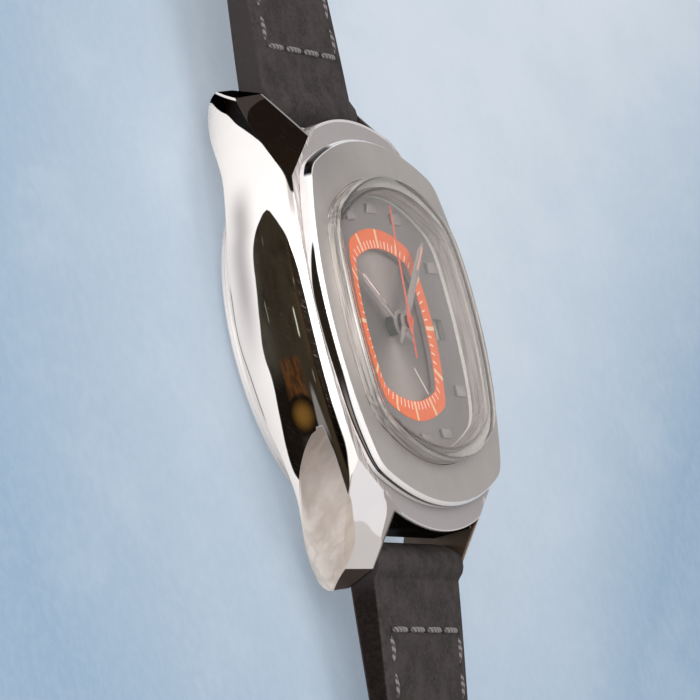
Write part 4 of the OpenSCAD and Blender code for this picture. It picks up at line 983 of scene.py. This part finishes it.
HOUR, MINUTE, SECOND = 304.2, 48, 8
hand("hour_pointer", [(-2.7, 0.06), (-1.2, 0.34), (1.2, 0.36), (3.6, 0.55), (6.9, 0.48), (8.0, 0.02)],
     9.55, 0.16, (1.2, 9.8, 0.86), HOUR, "hour_drive", "hour_hand", HAND)
hand("minute_pointer", [(-3.0, 0.06), (-1.3, 0.36), (1.2, 0.38), (4.0, 0.52), (9.9, 0.46), (11.3, 0.02)],
     10.05, 0.16, (0.85, 10.3, 0.56), MINUTE, "minute_drive", "minute_hand", HAND)
hand("seconds_pointer", [(-3.4, 0.1), (-1.3, 0.13), (0, 0.55), (1.3, 0.13), (10.5, 0.08)],
     10.5, 0.12, (0.45, 10.75, 0.255), SECOND, "seconds_drive", "seconds_hand", SECONDS)
inlay("hour_lume_line", 4.3, 7.4, 0.2, 9.69, HOUR, "hour_drive", LUME)
inlay("hour_ridge", 1.3, 2.9, 0.12, 9.695, HOUR, "hour_drive", HAND_DARK)
inlay("minute_lume_line", 7.4, 10.6, 0.26, 10.19, MINUTE, "minute_drive", LUME_WARM)


# Strap

def blend_z(y, y0, z0, slope, y1, z1):
    if y < y0:
        return z0 + slope * (y - y0)
    if y > y1:
        return z1
    t, h = (y - y0) / (y1 - y0), slope * (y1 - y0)
    return z0 * (1 + 2 * t) * (1 - t) ** 2 + h * t * (1 - t) ** 2 + z1 * t * t * (3 - 2 * t)


S_UP, S_DOWN = math.tan(rad(3.6)), math.tan(rad(6.9))


def upper_z(y):
    return blend_z(y, 32, BAR_Z + S_UP * 12, S_UP, 62, BUCKLE_Z)


def lower_z(y):
    return blend_z(y, 32, BAR_Z - S_DOWN * 12, -S_DOWN, 50, 1.0)


def half_t(y):
    return (2.8 - 0.8 * ease(min(1, max(0, (y - BAR_Y) / 20)))) / 2


def half_w(y, tip):
    """Half the strap's width at y: it tapers to 8 and, with tip, ends in a rounded point."""
    w = 9.9 - 1.9 * (min(60, max(22, y)) - 22) / 38
    if tip and y > TIP_Y:
        w = min(w, 8.0 * math.sqrt(max(0.0, 1 - ((y - TIP_Y) / TIP_L) ** 2)))
    return w


def levels(y, mid, circles, first, last):
    """Top and bottom of the strap's section at y."""
    spans = []
    if first <= y <= last:
        spans.append((mid(y) + half_t(y), mid(y) - half_t(y)))
    for cy, cz, r in circles:
        if abs(y - cy) < r:
            h = math.sqrt(r * r - (y - cy) ** 2)
            spans.append((cz + h, cz - h))
    return max(s[0] for s in spans), min(s[1] for s in spans)


def smooth(t):
    t = min(1, max(0, t))
    return t * t * (3 - 2 * t)


def edge_drop(d):
    """How far the strap's top lies lower at d from its edge: a pressed border and the stitches' groove."""
    return 0.22 * (1 - smooth((d - 0.9) / 1.4)) + 0.10 * math.exp(-((d - STITCH_IN) / 0.28) ** 2)


def strap_mesh(name, mid, circles, first, last, ys, tip, seed):
    rnd = random.Random(seed)
    waves = [(rnd.uniform(0.2, 0.9), rnd.uniform(0.15, 0.6), rnd.uniform(0, 6)) for _ in range(8)]
    rings = []
    for y in ys:
        top, low = levels(y, mid, circles, first, last)
        w, t = half_w(y, tip), top - low
        rc = min(0.42, t * 0.42, w * 0.4)
        ring = []
        for i in range(23):
            x = -(w - rc) + 2 * (w - rc) * (i / 22)
            ripple = sum(0.012 * sin(a * x + b * y + c) for a, b, c in waves)
            ring.append((x, y, top - min(edge_drop(w - abs(x)), t * 0.2) + ripple * min(1, t)))
        edge = [pi / 2 * i / 5 for i in range(1, 5)]
        drop = min(0.22, t * 0.2)
        side = [(w - rc + rc * sin(a), y, top - drop - rc * (1 - cos(a))) for a in edge]
        side += [(w, y, top - drop - rc), (w, y, low + rc)]
        side += [(w - rc + rc * cos(a), y, low + rc - rc * sin(a)) for a in edge]
        ring += side + [((w - rc) * (1 - 2 * i / 6), y, low) for i in range(7)]
        rings.append(ring + [(-x, y, z) for x, y, z in side[::-1]])
    return mesh_object(name, *loft(rings))


def spaced(a, b, n):
    return [a + (b - a) * i / n for i in range(n + 1)]


start = [STRAP_Y + 0.02, 18.65, 18.72, 18.82, 18.95, 19.1, 19.3, 19.55, 19.8, 20.1, 20.5, 21, 21.5, 21.9, 22.1, 22.3,
         22.6]
HUMP = [(BAR_Y, BAR_Z, 1.4), (20.6, 6.0, 1.6)]
ys = start + spaced(23, 94, 142) + [94.3, 94.6, 94.9, 95.2, 95.5, 95.75, 95.95, 96.07, 96.13]
upper = strap_mesh("strap_upper_suede", upper_z, HUMP + [(BUCKLE_Y, BUCKLE_Z, 1.15)], BAR_Y, BUCKLE_Y, ys, False, 3)
bar_hole = (0.8, (-20, BAR_Y, BAR_Z), (20, BAR_Y, BAR_Z), 32)
tongue_slot = [(-1.15, 93.1), (1.15, 93.1), (1.15, 98), (-1.15, 98)]
cut(upper, rod(*bar_hole), rod(0.6, (-20, BUCKLE_Y, BUCKLE_Z), (20, BUCKLE_Y, BUCKLE_Z), 32),
    prism(tongue_slot, -1, 12))
ys = start + spaced(23, TIP_Y, 206) + [TIP_Y + TIP_L * sin(a) for a in spaced(0.1, pi / 2 - 0.06, 16)]
lower = strap_mesh("strap_lower_suede", lower_z, HUMP, BAR_Y, TIP_Y + TIP_L, ys, True, 5)
holes = [113 - 6.5 * i for i in range(7)]
cut(lower, rod(*bar_hole), *(rod(1.0, (0, y, -1), (0, y, 12), 32) for y in holes))
lower.data.transform(Matrix.Scale(-1, 4, (0, 1, 0)))
lower.data.flip_normals()


def stitch(p, q, w, store):
    """A thread stitch from p to q: a low arched capsule."""
    p, q = Vector(p), Vector(q)
    d = q - p
    side = d.cross(Vector((0, 0, 1))).normalized()
    top = side.cross(d).normalized()
    k, n = len(store[0]), 8
    steps = ((0.0, 0.35, -0.10), (0.06, 0.8, 0.0), (0.2, 1.0, 0.55), (0.5, 1.0, 1.0), (0.8, 1.0, 0.55),
             (0.94, 0.8, 0.0), (1.0, 0.35, -0.10))
    for f, s, h in steps:
        c = p + d * f + top * (0.16 * h - 0.06)
        store[0].extend(c + side * (w / 2 * s * cos(t)) + top * (w / 2 * 0.8 * s * sin(t)) for t in turns(n))
    for i in range(len(steps) - 1):
        a, b = k + i * n, k + (i + 1) * n
        store[1].extend((a + j, a + (j + 1) % n, b + (j + 1) % n, b + j) for j in range(n))
    store[1].extend((range(k, k + n), range(k + (len(steps) - 1) * n, k + len(steps) * n)))


def pit(p, r, store):
    """A shallow dark disc, painted shade where the thread goes into the leather."""
    k = len(store[0])
    store[0].extend((p[0] + r * cos(t), p[1] + r * sin(t), p[2] + h) for h in (-0.05, 0.035) for t in turns(10))
    store[1].extend((k + j, k + (j + 1) % 10, k + 10 + (j + 1) % 10, k + 10 + j) for j in range(10))
    store[1].extend((range(k, k + 10), range(k + 10, k + 20)))


def stitches(name, mid, circles, last, y_from, y_to, y_row, sign, body):
    """Two rows along the strap's edges and one of four stitches across it."""
    thread, pits = ([], []), ([], [])
    length, pitch, width, pit_r = 2.4, 3.15, 0.5, 0.29

    def run(*ends):
        places = []
        for x, y in ends:
            z = levels(y, mid, circles, BAR_Y, last)[0] - edge_drop(half_w(y, False) - abs(x))
            places.append((x, sign * y, z + 0.02))
            pit(places[-1], pit_r, pits)
        stitch(*places, width, thread)

    y = y_from
    while y < y_to:
        for s in (-1, 1):
            run(*((s * (half_w(v, False) - STITCH_IN), v) for v in (y, y + length)))
        y += pitch
    w = half_w(y_row, False) - STITCH_IN
    for i in range(4):
        x0 = -w + w / 2 * i + 0.22
        run((x0, y_row), (x0 + w / 2 - 0.5, y_row))
    dress(mesh_object(name + "_thread", *thread), body, THREAD)
    dress(mesh_object(name + "_pits", *pits), body, HOLE)


dress(upper, "upper_strap", SUEDE, ("strap_upper",), 40)
dress(lower, "lower_strap", SUEDE, ("strap_lower",), 40)
stitches("upper_strap", upper_z, HUMP, BUCKLE_Y, 25.95, 70, 25.6, 1, "upper_strap")
stitches("lower_strap", lower_z, HUMP, TIP_Y + TIP_L, 26.95, 124, 26.5, -1, "lower_strap")


# Keepers: flat loops of leather with rounded edges

def rounded_path(x0, x1, y0, y1, r, n):
    """Places (x, y, nx, ny) round a rectangle's corners, r in from its sides, n steps to a corner."""
    corners = ((x1, y1, 0), (x0, y1, 90), (x0, y0, 180), (x1, y0, 270))
    return [(x + (r if x == x0 else -r), y + (r if y == y0 else -r), cos(a), sin(a))
            for x, y, a0 in corners for a in (rad(a0 + 90 / n * i) for i in range(n + 1))]


def keeper(name, y, low, body, node):
    hw, top, t, width = 8.2, 5.4, 1.1, 4.6
    section = [(cx + 0.3 * nx, cy + 0.3 * ny) for cx, cy, nx, ny in rounded_path(0, width, 0, t, 0.3, 4)]
    rings = [[(cx + nx * (0.35 + r), y + s, cz + nz * (0.35 + r * (low if nz < -0.7 and low < t else t) / t))
              for s, r in section] for cx, cz, nx, nz in rounded_path(-hw, hw, low, top, 0.35, 6)]
    dress(mesh_object(name, *loft(rings, closed=True)), body, SUEDE, (node,), 40)


keeper("keeper_fixed_suede", 85.0, 1.1, "upper_strap", "fixed_keeper")
keeper("keeper_loose_suede", 76.4, 1.0, "loose_keeper", "sliding_keeper")


# CAD nodes that stay, and softened copies of those whose edges show

def softened(node, width, mat, segments=2):
    """A copy of a CAD node with rounded edges that stands for it."""
    source = frame["nodes"][node]
    me = source.data.copy()
    me.transform(Matrix.Scale(1000, 4))
    o = add_object(node + "_soft", me)
    bm = bmesh.new()
    bm.from_mesh(me)
    bmesh.ops.remove_doubles(bm, verts=bm.verts, dist=0.002)
    bmesh.ops.dissolve_limit(bm, angle_limit=rad(1.0), verts=bm.verts, edges=bm.edges)
    bm.to_mesh(me)
    bm.free()
    bevelled(o, width, segments)
    dress(o, source["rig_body"], mat, (node,), 20)


for node in ("time_crown", "alarm_crown"):
    softened(node, 0.06, POLISHED)
softened("buckle_frame", 0.35, BUCKLE, segments=4)
softened("buckle_tongue", 0.2, BUCKLE, segments=3)

NODE_MATS = {"hour_wheel": HUB, "cannon_pinion": HUB, "dial_plate": DIAL, "minute_ring": ORANGE, "alarm_disc": DISC,
             "date_disc": DATE, "case_back": POLISHED, "crown_tubes": POLISHED, "spring_bars": BRUSHED,
             "buckle_pin": BUCKLE}
for name, o in frame["nodes"].items():
    if o.hide_render:
        continue
    slot = o.data.materials[0].name if o.data.materials else ""
    mat = NODE_MATS.get(name) or next((m for s, m in MOVEMENT.items() if slot.startswith(s)), BRUSHED)
    if not o.material_slots:
        o.data.materials.append(mat.m)
    for place in o.material_slots:
        place.material = mat.m
